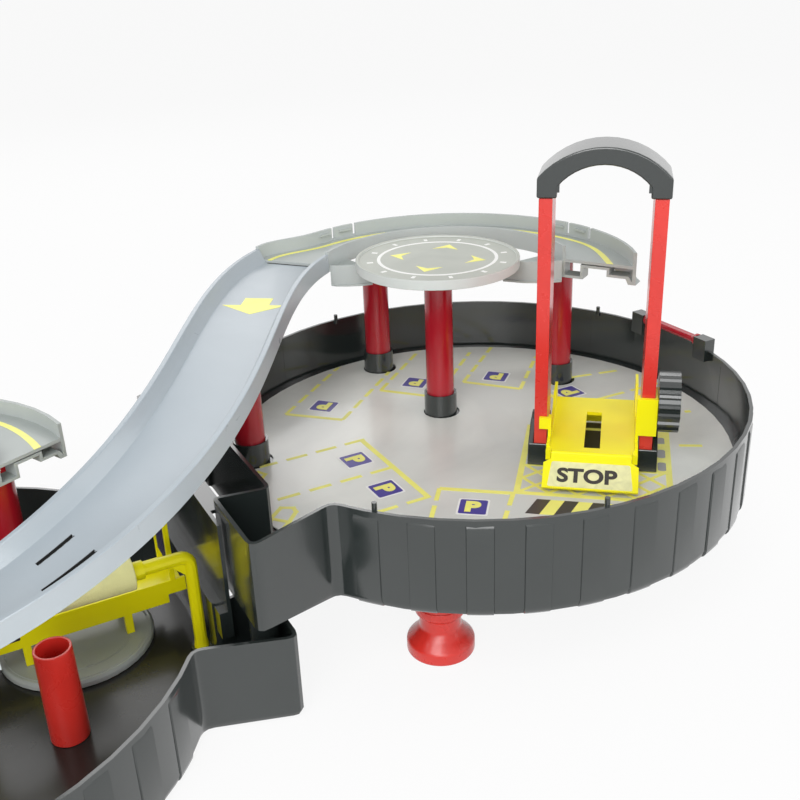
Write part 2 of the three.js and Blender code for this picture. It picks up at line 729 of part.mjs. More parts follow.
const columnStation = rampStation(RAMP_COLUMN_SHARE);
const rampColumn = polar(columnStation.centre, RAMP_COLUMN_SIDE, columnStation.heading + Math.PI / 2);
const deckBackColumn = underRoadAt(upperCentre, BACK_COLUMN_SHARE, BACK_COLUMN_ANGLE);
const deckRightColumn = underRoadAt(upperCentre, RIGHT_COLUMN_SHARE, RIGHT_COLUMN_ANGLE);
const lowerBackColumn = underRoadAt(lowerCentre, LOWER_BACK_SHARE, BACK_COLUMN_ANGLE);
const lowerLeftColumn = underRoadAt(lowerCentre, RIGHT_COLUMN_SHARE, LOWER_LEFT_ANGLE);
const lowerRightColumn = underRoadAt(lowerCentre, LOWER_RIGHT_SHARE, LOWER_RIGHT_ANGLE);
const frontStation = lowerStations[lowerStations.length - FRONT_COLUMN_STEPS];
const lowerFrontColumn = frontStation.left.map((value, axis) => (value + frontStation.right[axis]) / 2);

// The two trays as nested groups: the lower one is the same shape turned half a turn.
const raised = new THREE.Group();
raised.position.set(TRAY_OFFSET, 0, RAISED_UNDERSIDE);
const lower = new THREE.Group();
lower.position.set(-TRAY_OFFSET, 0, 0);
lower.rotation.z = Math.PI;
group.add(raised, lower);
group.updateMatrixWorld(true);

function inTray(parent, [x, y]) {
  const point = parent.worldToLocal(new THREE.Vector3(x, y, 0));
  return [point.x, point.y];
}

const legPlaces = LEG_ANGLES.map((angle) => [LEG_CIRCLE * Math.cos(angle), LEG_CIRCLE * Math.sin(angle)]);
const raisedColumns = [rampColumn, deckBackColumn, helipadColumn, deckRightColumn];
const lowerColumns = [lowerBackColumn, lowerLeftColumn, lowerRightColumn, lowerFrontColumn];
const raisedCollars = raisedColumns.map((place) => inTray(raised, place));
const lowerCollars = lowerColumns.map((place) => inTray(lower, place));
const pipeFeet = [-PIPE_REACH, PIPE_REACH].map((reach) => [TURNTABLE_PLACE[0] + reach, PIPE_LINE]);

// Pegs under the raised tray that stand in the cups of its legs.
function legPeg([x, y]) {
  const radius = LEG_CUP_RADIUS - LEG_CUP_WALL - FIT_GAP;
  const low = LEG_CUP_FLOOR + FIT_GAP - RAISED_UNDERSIDE;
  return rod(radius, low, PLATE_UNDER + ROOT_SINK).translate(x, y, 0);
}

// Blocks of the lower neck that carry the raised neck.
function neckRest(side) {
  const [x, y] = inTray(lower, [0, side * NECK_REST_SPREAD]);
  const top = RAISED_UNDERSIDE + NECK_LIFT - FIT_GAP;
  return rod(NECK_REST_RADIUS, PLATE_TOP - ROOT_SINK, top).translate(x, y, 0);
}

// Tongue on the outside of the lower recess's back wall, with a shelf along its top.
function tongue() {
  const back = RECESS_DEPTH - NECK_END + ROOT_SINK;
  const front = RECESS_DEPTH - NECK_END - TONGUE_DEPTH;
  const seat = TRAY_DEPTH - ROOT_SINK;
  const plate = slabAlongY([
    [front, TONGUE_FOOT],
    [back, TONGUE_FOOT],
    [back, seat],
    [front + TRAY_WALL, seat],
    [front + TRAY_WALL, TONGUE_TOP],
    [front, TONGUE_TOP],
  ], -TONGUE_HALF, TONGUE_HALF);
  const shelf = boxBetween(
    [front - TONGUE_SHELF, -TONGUE_SHELF_HALF, TONGUE_TOP - TRAY_WALL],
    [front + ROOT_SINK, TONGUE_SHELF_HALF, TONGUE_TOP],
  );
  return joined(plate, shelf);
}

// Sockets for the feet of the wash pipes.
function pipeSocket(place) {
  const [x, y] = inTray(lower, place);
  const bore = PIPE_FOOT_RADIUS + FIT_GAP;
  const ring = tube(PIPE_SOCKET_RADIUS, bore, PLATE_TOP - ROOT_SINK, SHEET_TOP + PIPE_SOCKET_RISE);
  return ring.translate(x, y, 0);
}

function turntablePin() {
  const [x, y] = inTray(lower, TURNTABLE_PLACE);
  return rod(TURNTABLE_PIN_RADIUS, PLATE_TOP - ROOT_SINK, SHEET_TOP + TURNTABLE_RISE / 2).translate(x, y, 0);
}

piece(raised, 'upper_tray', tray(RAISED_BELLY, raisedCollars, legPlaces.map(legPeg)), 'black');
piece(raised, 'upper_floor_sheet', floorSheet(raisedCollars, SHEET_HOLE_SHIFT, []), 'sheet');
const lowerExtras = [neckRest(-1), neckRest(1), tongue(), ...pipeFeet.map(pipeSocket), turntablePin()];
piece(lower, 'lower_tray', tray(0, lowerCollars, lowerExtras), 'black');
const lowerBosses = [
  ...pipeFeet.map((place) => [...inTray(lower, place), PIPE_SOCKET_RADIUS + FIT_GAP]),
  [...inTray(lower, TURNTABLE_PLACE), TURNTABLE_PIN_RADIUS + FIT_GAP],
];
piece(lower, 'lower_floor_sheet', floorSheet(lowerCollars, -SHEET_HOLE_SHIFT, lowerBosses), 'lowerSheet');

for (const [parent, name] of [[raised, 'upper_handle'], [lower, 'lower_handle']]) {
  const bar = piece(parent, name, handleBar(), 'columnRed');
  bar.position.set(HANDLE_REACH, 0, TRAY_DEPTH + HANDLE_RISE);
}

// Leg with a wide foot, a waist and an open cup.
function legShape() {
  const cupBore = LEG_CUP_RADIUS - LEG_CUP_WALL;
  return turned([
    [0, 0],
    [LEG_FLANGE_RADIUS, 0],
    [LEG_FLANGE_RADIUS, LEG_FLANGE_EDGE],
    [LEG_SHOULDER_RADIUS, LEG_SHOULDER_HEIGHT],
    [LEG_NECK_RADIUS, LEG_NECK_FOOT],
    [LEG_NECK_RADIUS, LEG_NECK_HEIGHT],
    [LEG_BAND_RADIUS, LEG_CUP_FLOOR],
    [LEG_BAND_RADIUS, LEG_BAND_HEIGHT],
    [LEG_CUP_RADIUS, LEG_BAND_HEIGHT],
    [LEG_CUP_RADIUS, LEG_HEIGHT],
    [cupBore, LEG_HEIGHT],
    [cupBore, LEG_CUP_FLOOR],
    [0, LEG_CUP_FLOOR],
  ], LEG_STEPS);
}

['leg_front', 'leg_back', 'leg_far'].forEach((name, i) => {
  const leg = piece(group, name, legShape(), 'postRed');
  leg.position.set(TRAY_OFFSET + legPlaces[i][0], legPlaces[i][1], 0);
});

// A road section is a closed list of side, distance in from that side and drop below the wall top.
function roadLoft(stations, section) {
  const rings = stations.map(({ left, right, top }) => {
    const across = new THREE.Vector2(right[0] - left[0], right[1] - left[1]).normalize();
    return section.map(([side, inwards, drop]) => {
      const [x, y] = side === 'left' ? left : right;
      const way = side === 'left' ? inwards : -inwards;
      return [x + across.x * way, y + across.y * way, top - drop];
    });
  });
  const outlineOf = ({ left, right }) => {
    const width = Math.hypot(right[0] - left[0], right[1] - left[1]);
    return section.map(([side, inwards, drop]) => [side === 'left' ? inwards : width - inwards, -drop]);
  };
  return loft(rings, outlineOf(stations[0]), outlineOf(stations[stations.length - 1]));
}

// The ramp's trough: flat rims, sloping inner walls, a flat road and short skirts below it.
const underRoad = RAMP_WALL_RISE + RAMP_FLOOR_THICK;
const rampSection = [
  ['left', 0, 0],
  ['left', RAMP_RIM, 0],
  ['left', RAMP_SLOPE_IN, RAMP_WALL_RISE],
  ['right', RAMP_SLOPE_IN, RAMP_WALL_RISE],
  ['right', RAMP_RIM, 0],
  ['right', 0, 0],
  ['right', 0, RAMP_SKIRT],
  ['right', RAMP_WALL, RAMP_SKIRT],
  ['right', RAMP_SLOPE_IN, underRoad],
  ['left', RAMP_SLOPE_IN, underRoad],
  ['left', RAMP_WALL, RAMP_SKIRT],
  ['left', 0, RAMP_SKIRT],
];

function rampPart(from, to, steps) {
  const shares = Array.from({ length: steps + 1 }, (_, i) => from + (to - from) * i / steps);
  return roadLoft(shares.map(rampStation), rampSection);
}

// Boss under the ramp with a flat foot and a peg for the column below it.
const rampColumnTop = rampStation(RAMP_COLUMN_SHARE).top - underRoad - BOSS_DEPTH / 2;

function columnPeg([x, y], seat) {
  return rod(PEG_RADIUS, seat - PEG_LENGTH, seat + ROOT_SINK).translate(x, y, 0);
}

function rampBoss() {
  const top = rampStation(RAMP_COLUMN_SHARE).top - RAMP_WALL_RISE - RAMP_FLOOR_THICK / 2;
  return rod(BOSS_RADIUS, rampColumnTop, top).translate(...rampColumn, 0);
}

const rampBody = joined(
  rampPart(RAMP_TOP_SHARE, RAMP_FOOT_SHARE, RAMP_STEPS),
  rampBoss(),
  columnPeg(rampColumn, rampColumnTop),
);
piece(group, 'ramp', rampBody, 'ramp');

// The decks' trough: a tall outer wall, a lower inner wall and a thin road between them.
const deckUnder = DECK_WALL_RISE + DECK_FLOOR_THICK;
const deckSection = [
  ['left', 0, 0],
  ['left', DECK_WALL, 0],
  ['left', DECK_WALL, DECK_WALL_RISE],
  ['right', DECK_WALL, DECK_WALL_RISE],
  ['right', DECK_WALL, 0],
  ['right', 0, 0],
  ['right', 0, DECK_OUTER_SKIRT],
  ['right', DECK_WALL, DECK_OUTER_SKIRT],
  ['right', DECK_WALL, deckUnder],
  ['left', DECK_WALL, deckUnder],
  ['left', DECK_WALL, DECK_INNER_SKIRT],
  ['left', 0, DECK_INNER_SKIRT],
];

// Stepped ribbon that closes the underside of a deck at its open end.
function endFrame({ left, right, top }) {
  const width = Math.hypot(right[0] - left[0], right[1] - left[1]);
  const low = -DECK_OUTER_SKIRT;
  const boxTop = low + END_BOX_RISE + END_FRAME_THICK;
  const shelf = low + END_FRAME_THICK;
  const step = shelf + END_STEP_RISE;
  const from = width * END_BOX_FROM_SHARE;
  const to = width * END_BOX_TO_SHARE;
  const fall = width * END_STEP_SHARE;
  const upper = [
    [END_FRAME_THICK, shelf],
    [from - END_FRAME_THICK, shelf],
    [from - END_FRAME_THICK, boxTop],
    [to + END_FRAME_THICK, boxTop],
    [to + END_FRAME_THICK, step],
    [fall, step],
    [width - DECK_WALL, shelf],
  ];
  const under = [
    [width, low],
    [fall, low],
    [fall - END_FRAME_THICK, step - END_FRAME_THICK],
    [to, step - END_FRAME_THICK],
    [to, boxTop - END_FRAME_THICK],
    [from, boxTop - END_FRAME_THICK],
    [from, low],
    [0, low],
    [0, ROOT_SINK - DECK_INNER_SKIRT],
    [END_FRAME_THICK, ROOT_SINK - DECK_INNER_SKIRT],
  ];
  const angle = Math.atan2(right[1] - left[1], right[0] - left[0]);
  const ribbon = slabAlongY([...upper, ...under], 0, END_FRAME_DEPTH);
  return ribbon.rotateZ(angle).translate(left[0], left[1], top);
}

const padTop = raisedSheetTop + PAD_RISE;
const padSeat = padTop - PAD_THICK;

// Arm of the upper deck under the rim of the helipad: a web with a ledge back to the deck.
const armSection = [
  ['left', 0, 0],
  ['left', DECK_WALL, 0],
  ['left', DECK_WALL, ARM_LEDGE_DROP],
  ['right', 0, ARM_LEDGE_DROP],
  ['right', 0, ARM_LEDGE_DROP + DECK_FLOOR_THICK],
  ['left', DECK_WALL, ARM_LEDGE_DROP + DECK_FLOOR_THICK],
  ['left', DECK_WALL, ARM_DEPTH],
  ['left', -ARM_LIP, ARM_DEPTH],
  ['left', -ARM_LIP, ARM_DEPTH - ARM_LIP],
  ['left', 0, ARM_DEPTH - ARM_LIP],
];

function ringPoint([share, angle]) {
  return polar(upperCentre, DECK_INNER_RADIUS * share, degrees(angle));
}

function padArm(nearLine, rootLine) {
  const top = padSeat - FIT_GAP;
  return roadLoft(nearLine.map((left, i) => ({ left, right: rootLine[i], top })), armSection);
}

// The left arm's root lies inside the wall of the throat, from the ramp back to the ring.
const leftArmRoot = upperStations.slice(-LEFT_ARM_LINE_SHARES.length).reverse().map(({ left, right }) => {
  const across = new THREE.Vector2(right[0] - left[0], right[1] - left[1]).setLength(ARM_ROOT_DEPTH);
  return [left[0] + across.x, left[1] + across.y];
});

const upperSeat = upperWallTop - deckUnder;
const upperDeck = joined(
  roadLoft(upperStations, deckSection),
  endFrame(upperStations[0]),
  padArm(RIGHT_ARM_LINE_SHARES.map(ringPoint), RIGHT_ARM_ROOT_SHARES.map(ringPoint)),
  padArm(LEFT_ARM_LINE_SHARES.map(ringPoint), leftArmRoot),
  columnPeg(deckBackColumn, upperSeat),
  columnPeg(deckRightColumn, upperSeat),
);
piece(group, 'upper_deck', upperDeck, 'deck');

const lowerSeat = lowerWallTop - deckUnder;
const lowerDeck = joined(
  roadLoft(lowerStations, deckSection),
  endFrame(lowerStations[0]),
  ...lowerColumns.map((place) => columnPeg(place, lowerSeat)),
);
piece(group, 'lower_deck', lowerDeck, 'deck');

// Helipad: a disc with a raised lip and a peg for its column.
const padDisc = turned([
  [0, padSeat],
  [PAD_RADIUS, padSeat],
  [PAD_RADIUS, padTop + PAD_LIP],
  [PAD_RADIUS - PAD_LIP_WIDTH, padTop + PAD_LIP],
  [PAD_RADIUS - PAD_LIP_WIDTH, padTop],
  [0, padTop],
], PAD_STEPS).translate(...helipadColumn, 0);
piece(group, 'helipad', joined(padDisc, columnPeg(helipadColumn, padSeat)), 'pad');

// Columns: tapered tubes that stand in the collars and take the pegs at their tops.
function column(foot, top) {
  return turned([
    [COLUMN_BORE, foot],
    [COLUMN_FOOT_RADIUS, foot],
    [COLUMN_TOP_RADIUS, top],
    [COLUMN_BORE, top],
    [COLUMN_BORE, foot],
  ]);
}

const raisedFoot = RAISED_UNDERSIDE + PLATE_TOP + FIT_GAP;
const lowerFoot = PLATE_TOP + FIT_GAP;
const columnTable = [
  ['ramp_column', rampColumn, raisedFoot, rampColumnTop],
  ['deck_back_column', deckBackColumn, raisedFoot, upperSeat],
  ['helipad_column', helipadColumn, raisedFoot, padSeat],
  ['deck_right_column', deckRightColumn, raisedFoot, upperSeat],
  ['lower_back_column', lowerBackColumn, lowerFoot, lowerSeat],
  ['lower_left_column', lowerLeftColumn, lowerFoot, lowerSeat],
  ['lower_right_column', lowerRightColumn, lowerFoot, lowerSeat],
  ['lower_front_column', lowerFrontColumn, lowerFoot, lowerSeat],
];
for (const [name, place, foot, seat] of columnTable) {
  piece(group, name, column(foot, seat - FIT_GAP), 'columnRed').position.set(...place, 0);
}

// Lift: everything below is placed in the lift's own frame, its heights above the sheet.
const lift = new THREE.Group();
lift.position.set(...LIFT_PLACE, raisedSheetTop);
lift.rotation.z = LIFT_TURN;
group.add(lift);

const postOuter = POST_INNER + POST_WIDTH;
const postBack = POST_FRONT + POST_DEPTH;
const postFoot = FIT_GAP + SOCKET_FLOOR + FIT_GAP;
const postTop = ARCH_FOOT_RISE - FIT_GAP;
const axleY = POST_FRONT + POST_WALL - RACK_ADDENDUM - FIT_GAP / 2 + RACK_ADDENDUM * 2 + PINION_PITCH_RADIUS;
const pitchLine = axleY - PINION_PITCH_RADIUS;

// Post: a channel open to the outside; side is 1 on the right and -1 on the left.
function postChannel(side) {
  const outline = [
    [POST_INNER, POST_FRONT],
    [postOuter, POST_FRONT],
    [postOuter, POST_FRONT + POST_WALL],
    [POST_INNER + POST_WALL, POST_FRONT + POST_WALL],
    [POST_INNER + POST_WALL, postBack - POST_WALL],
    [postOuter, postBack - POST_WALL],
    [postOuter, postBack],
    [POST_INNER, postBack],
  ].map(([x, y]) => [x * side, y]);
  return slab(outline, postFoot, postTop);
}

// Rack inside the right post; a gap between teeth faces the pinion at rest.
function rack() {
  const outline = [];
  const root = pitchLine - RACK_ADDENDUM;
  const rootHalf = TOOTH_PITCH * (2 * RACK_PITCH_HALF_SHARE - RACK_TIP_HALF_SHARE);
  const tipHalf = TOOTH_PITCH * RACK_TIP_HALF_SHARE;
  for (let i = -RACK_TEETH_BELOW; i < RACK_TEETH_ABOVE; i += 1) {
    const middle = AXLE_RISE + (i + 0.5) * TOOTH_PITCH;
    outline.push([root, middle - rootHalf], [pitchLine + RACK_ADDENDUM, middle - tipHalf]);
    outline.push([pitchLine + RACK_ADDENDUM, middle + tipHalf], [root, middle + rootHalf]);
  }
  const high = outline[outline.length - 1][1];
  const low = outline[0][1];
  outline.push([root - ROOT_SINK, high], [root - ROOT_SINK, low]);
  return slabAlongX(outline, POST_INNER + POST_WALL - ROOT_SINK / 2, postOuter - FIT_GAP);
}

piece(lift, 'lift_post_left', postChannel(-1), 'postRed');
piece(lift, 'lift_post_right', joined(postChannel(1), rack()), 'postRed');

// Base socket: a wedge with a pocket for the post, open towards the platform.
function socket(side) {
  const inside = POST_INNER - FIT_GAP;
  const outside = postOuter + FIT_GAP;
  const ends = [POST_FRONT - FIT_GAP, postBack + FIT_GAP];
  const [left, right] = [inside, outside + SOCKET_OUTSIDE].map((x) => x * side).sort((a, b) => a - b);
  const [pocketLeft, pocketRight] = [inside - OVERRUN, outside].map((x) => x * side).sort((a, b) => a - b);
  const front = ends[0] - SOCKET_WALL;
  const back = ends[1] + SOCKET_WALL;
  const wedge = slabAlongX([
    [front - SOCKET_TOE, FIT_GAP],
    [back, FIT_GAP],
    [back, SOCKET_HEIGHT],
    [(front + back) / 2, SOCKET_HEIGHT],
    [front, SOCKET_FRONT_HEIGHT],
    [front - SOCKET_TOE, SOCKET_FLOOR],
  ], left, right);
  const pocket = boxBetween(
    [pocketLeft, ends[0], SOCKET_FLOOR + FIT_GAP],
    [pocketRight, ends[1], SOCKET_HEIGHT + OVERRUN],
  );
  return cut(wedge, pocket);
}

piece(lift, 'lift_socket_left', socket(-1), 'black');
piece(lift, 'lift_socket_right', socket(1), 'black');

// Points of a shallow arch between two sides, through its apex.
function archLine(half, shoulder, apex) {
  const rise = apex - shoulder;
  const radius = (half * half + rise * rise) / (2 * rise);
  const span = Math.asin(half / radius);
  return arc([0, apex - radius], radius, [Math.PI / 2 + span, Math.PI / 2 - span], ARCH_STEPS);
}

function archShape() {
  const legInner = ARCH_HALF - ARCH_LEG;
  const outline = [
    [-ARCH_HALF, 0],
    ...archLine(ARCH_HALF, ARCH_SHOULDER, ARCH_APEX),
    [ARCH_HALF, 0],
    [legInner, 0],
    ...archLine(legInner, ARCH_INNER_SHOULDER, ARCH_APEX - ARCH_THICK).reverse(),
    [-legInner, 0],
  ];
  const front = POST_FRONT - (ARCH_DEPTH - POST_DEPTH) / 2;
  const bow = slabAlongY(outline, front, front + ARCH_DEPTH);
  const reach = [POST_INNER + POST_WALL + FIT_GAP, postOuter - POST_WALL];
  const depth = [POST_FRONT + 2 * POST_WALL, postBack - 2 * POST_WALL];
  const pegs = [-1, 1].map((side) => {
    const [left, right] = reach.map((value) => value * side).sort((a, b) => a - b);
    return boxBetween([left, depth[0], -ARCH_PEG_DEPTH], [right, depth[1], ROOT_SINK]);
  });
  return joined(bow, ...pegs);
}

piece(lift, 'lift_arch', archShape(), 'black').position.z = ARCH_FOOT_RISE;

// The flap's hinge, as Y and Z
const flapAxis = [PLATFORM_FRONT - FLAP_BARREL_RADIUS - FIT_GAP, PLATFORM_RISE - PLATFORM_THICK / 2];

// Platform: slotted floor, kerbs, back wings, the slider round the right post and the left lug.
function platformShape() {
  const floorLow = PLATFORM_RISE - PLATFORM_THICK;
  const sideIn = PLATFORM_HALF - KERB_WALL;
  const earIn = PLATFORM_HALF - EAR_WIDTH;
  const sliderBack = POST_FRONT - RUN_GAP;
  const sliderFront = sliderBack - SLIDER_THICK;
  const cheekIn = postOuter + RUN_GAP / 2;
  const wall = (side, front, back, low, high) => boxBetween(
    [side > 0 ? sideIn : -PLATFORM_HALF, front, low],
    [side > 0 ? PLATFORM_HALF : -sideIn, back, high],
  );
  const floorOutline = [
    [-PLATFORM_HALF, PLATFORM_FRONT],
    [PLATFORM_HALF, PLATFORM_FRONT],
    [PLATFORM_HALF, PLATFORM_BACK],
    [-PLATFORM_HALF, PLATFORM_BACK],
  ];
  const slot = [
    [-SLOT_HALF, SLOT_FRONT],
    [SLOT_HALF, SLOT_FRONT],
    [SLOT_HALF, SLOT_BACK],
    [-SLOT_HALF, SLOT_BACK],
  ];
  const wing = (side, rise) => slabAlongX([
    [PLATFORM_BACK - WING_LENGTH, PLATFORM_RISE - ROOT_SINK],
    [PLATFORM_BACK, PLATFORM_RISE - ROOT_SINK],
    [PLATFORM_BACK, PLATFORM_RISE + rise],
    [PLATFORM_BACK - WING_LENGTH / 2, PLATFORM_RISE + rise],
  ], side > 0 ? sideIn : -PLATFORM_HALF, side > 0 ? PLATFORM_HALF : -sideIn);
  const ear = (side) => boxBetween(
    [Math.min(side * PLATFORM_HALF, side * earIn), flapAxis[0] - EAR_RADIUS, flapAxis[1] - EAR_RADIUS],
    [Math.max(side * PLATFORM_HALF, side * earIn), PLATFORM_FRONT + ROOT_SINK, flapAxis[1] + EAR_RADIUS],
  );
  const body = joined(
    slab(floorOutline, floorLow, PLATFORM_RISE, [slot]),
    wall(-1, PLATFORM_FRONT, PLATFORM_BACK, floorLow, PLATFORM_RISE + KERB_RISE),
    wall(1, PLATFORM_FRONT, PLATFORM_BACK, floorLow, PLATFORM_RISE + KERB_RISE),
    wing(-1, LEFT_WING_RISE),
    wing(1, RIGHT_WING_RISE),
    wall(1, sliderFront, sliderFront + LUG_DEPTH, floorLow, SLIDER_TOP_RISE),
    boxBetween([sideIn, sliderFront, SLIDER_FOOT_RISE], [cheekIn + CHEEK_WALL, sliderBack, SLIDER_TOP_RISE]),
    boxBetween(
      [cheekIn, sliderFront, SLIDER_FOOT_RISE],
      [cheekIn + CHEEK_WALL, sliderFront + SLIDER_DEPTH, SLIDER_TOP_RISE],
    ),
    wall(-1, sliderFront, sliderFront + LUG_DEPTH, floorLow, LUG_TOP_RISE),
    boxBetween([-PLATFORM_HALF - LUG_REACH, sliderFront, LUG_FOOT_RISE], [-sideIn, sliderBack, LUG_TOP_RISE]),
    ear(-1),
    ear(1),
  );
  const axleHole = rod(AXLE_RADIUS + FIT_GAP, cheekIn - OVERRUN, cheekIn + CHEEK_WALL + OVERRUN)
    .rotateY(Math.PI / 2)
    .translate(0, axleY, AXLE_RISE);
  const pinReach = PLATFORM_HALF + OVERRUN;
  const pinHole = rod(FLAP_PIN_RADIUS + FIT_GAP, -pinReach, pinReach, PIPE_SIDES)
    .rotateY(Math.PI / 2)
    .translate(0, flapAxis[0], flapAxis[1]);
  return cut(body, axleHole, pinHole);
}

piece(lift, 'lift_platform', platformShape(), 'yellow');

// Flap: a plate with raised side edges on a barrel that turns on its pin.
function flapShape() {
  const half = PLATFORM_HALF - EAR_WIDTH - FIT_GAP;
  const tipHalf = half + FLAP_SIDE_GAP - FIT_GAP - RUN_GAP;
  const clear = EAR_RADIUS * Math.SQRT2 + RUN_GAP;
  const plate = slab([
    [-half, 0],
    [-half, -clear],
    [-tipHalf, -clear - FLAP_SIDE_EDGE],
    [-tipHalf, -FLAP_LENGTH],
    [tipHalf, -FLAP_LENGTH],
    [tipHalf, -clear - FLAP_SIDE_EDGE],
    [half, -clear],
    [half, 0],
  ], 0, FLAP_THICK);
  const barrel = rod(FLAP_BARREL_RADIUS, -half, half).rotateY(Math.PI / 2);
  const reach = half + OVERRUN;
  const bore = rod(FLAP_PIN_RADIUS + FIT_GAP, -reach, reach, PIPE_SIDES);
  return cut(joined(plate, barrel), bore.rotateY(Math.PI / 2));
}

const flapHinge = new THREE.Group();
flapHinge.position.set(0, ...flapAxis);
flapHinge.rotation.x = FLAP_DROP_ANGLE;
lift.add(flapHinge);
piece(flapHinge, 'stop_flap', flapShape(), 'yellow');
const pinShape = rod(FLAP_PIN_RADIUS, FIT_GAP - PLATFORM_HALF, PLATFORM_HALF - FIT_GAP, PIPE_SIDES);
const flapPin = piece(lift, 'flap_pin', pinShape.rotateY(Math.PI / 2), 'yellow');
flapPin.position.set(0, ...flapAxis);

// Pinion with its axle, turned about the lift's X axis; one tooth points to the rack at rest.
function pinionShape() {
  const pitchAngle = 2 * Math.PI / PINION_TEETH;
  const outline = [];
  const corner = (radius, angle) => outline.push([radius * Math.cos(angle), radius * Math.sin(angle)]);
  for (let i = 0; i < PINION_TEETH; i += 1) {
    const middle = i * pitchAngle + Math.PI;
    corner(PINION_PITCH_RADIUS - PINION_DEDENDUM, middle - pitchAngle * PINION_ROOT_HALF_SHARE);
    corner(PINION_PITCH_RADIUS, middle - pitchAngle * PINION_PITCH_HALF_SHARE);
    corner(PINION_PITCH_RADIUS + PINION_ADDENDUM, middle - pitchAngle * PINION_TIP_HALF_SHARE);
    corner(PINION_PITCH_RADIUS + PINION_ADDENDUM, middle + pitchAngle * PINION_TIP_HALF_SHARE);
    corner(PINION_PITCH_RADIUS, middle + pitchAngle * PINION_PITCH_HALF_SHARE);
    corner(PINION_PITCH_RADIUS - PINION_DEDENDUM, middle + pitchAngle * PINION_ROOT_HALF_SHARE);
  }
  const start = POST_INNER + POST_WALL + RUN_GAP;
  const gear = slabAlongX(outline, start, start + PINION_WIDTH);
  const axleEnd = wheelStart + WHEEL_WIDTH - WHEEL_DISH;
  const axle = rod(AXLE_RADIUS, start + PINION_WIDTH - ROOT_SINK, axleEnd).rotateY(Math.PI / 2);
  return joined(gear, axle);
}

const wheelStart = postOuter + RUN_GAP / 2 + CHEEK_WALL + FIT_GAP;

// Hand wheel: a ribbed rim with a dished face and a blind bore for the axle.
function wheelShape() {
  const count = WHEEL_RIBS * WHEEL_RIB_POINTS;
  const outline = Array.from({ length: count }, (_, i) => {
    const place = i % WHEEL_RIB_POINTS;
    const high = place > 0 && place < WHEEL_RIB_POINTS - 1;
    const lean = high ? 0 : WHEEL_RIB_LEAN_SHARE * (place === 0 ? 1 : -1);
    const radius = high ? WHEEL_RADIUS : WHEEL_RADIUS - WHEEL_RIB_DEPTH;
    const angle = 2 * Math.PI * (i + lean) / count;
    return [radius * Math.cos(angle), radius * Math.sin(angle)];
  });
  const rim = slabAlongX(outline, wheelStart, wheelStart + WHEEL_WIDTH);
  const wheelEnd = wheelStart + WHEEL_WIDTH;
  const dish = rod(WHEEL_DISH_RADIUS, wheelEnd - WHEEL_DISH, wheelEnd + OVERRUN);
  const hub = rod(AXLE_RADIUS + FIT_GAP, wheelStart - OVERRUN, wheelEnd - WHEEL_DISH + OVERRUN);
  return cut(rim, dish.rotateY(Math.PI / 2), hub.rotateY(Math.PI / 2));
}

const axleGroup = new THREE.Group();
axleGroup.position.set(0, axleY, AXLE_RISE);
lift.add(axleGroup);
piece(axleGroup, 'lift_pinion', pinionShape(), 'black');
piece(axleGroup, 'lift_wheel', wheelShape(), 'black');

// Car wash: everything below is placed round the turntable, its heights above the sheet.
const wash = new THREE.Group();
wash.position.set(...TURNTABLE_PLACE, SHEET_TOP);
group.add(wash);

piece(wash, 'turntable', turned([
  [TURNTABLE_PIN_RADIUS + FIT_GAP, FIT_GAP],
  [TURNTABLE_RADIUS, FIT_GAP],
  [TURNTABLE_RADIUS, TURNTABLE_RISE - TURNTABLE_EDGE],
  [TURNTABLE_RADIUS - TURNTABLE_EDGE, TURNTABLE_RISE],
  [0, TURNTABLE_RISE],
  [0, TURNTABLE_RISE / 2 + FIT_GAP],
  [TURNTABLE_PIN_RADIUS + FIT_GAP, TURNTABLE_RISE / 2 + FIT_GAP],
  [TURNTABLE_PIN_RADIUS + FIT_GAP, FIT_GAP],
], PAD_STEPS), 'deck');

// Track on four legs, with stepped ends.
function trackShape() {
  const top = TRACK_RISE + TRACK_WALL_RISE;
  const side = (low) => slabAlongY([
    [-TRACK_HALF, TRACK_RISE + TRACK_STEP_RISE],
    [-TRACK_HALF + TRACK_STEP_LENGTH, TRACK_RISE + TRACK_STEP_RISE],
    [-TRACK_HALF + TRACK_STEP_LENGTH, TRACK_RISE],
    [TRACK_HALF - TRACK_STEP_LENGTH, TRACK_RISE],
    [TRACK_HALF - TRACK_STEP_LENGTH, TRACK_RISE + TRACK_STEP_RISE],
    [TRACK_HALF, TRACK_RISE + TRACK_STEP_RISE],
    [TRACK_HALF, top],
    [-TRACK_HALF, top],
  ], low, low + TRACK_WALL);
  const floorLow = TRACK_RISE + TRACK_STEP_RISE;
  const legs = [-1, 1].flatMap((endSide) => [-1, 1].map((wallSide) => boxBetween(
    [
      endSide * TRACK_LEG_REACH - TRACK_LEG_SIZE / 2,
      wallSide * (TRACK_HALF_WIDTH - TRACK_LEG_SIZE / 2) - TRACK_LEG_SIZE / 2,
      TURNTABLE_RISE + FIT_GAP,
    ],
    [
      endSide * TRACK_LEG_REACH + TRACK_LEG_SIZE / 2,
      wallSide * (TRACK_HALF_WIDTH - TRACK_LEG_SIZE / 2) + TRACK_LEG_SIZE / 2,
      floorLow + ROOT_SINK,
    ],
  )));
  return joined(
    side(-TRACK_HALF_WIDTH),
    side(TRACK_HALF_WIDTH - TRACK_WALL),
    boxBetween(
      [-TRACK_HALF, -TRACK_HALF_WIDTH, floorLow],
      [TRACK_HALF, TRACK_HALF_WIDTH, floorLow + TRACK_FLOOR_THICK],
    ),
    ...legs,
  );
}

piece(wash, 'wash_track', trackShape(), 'yellow');

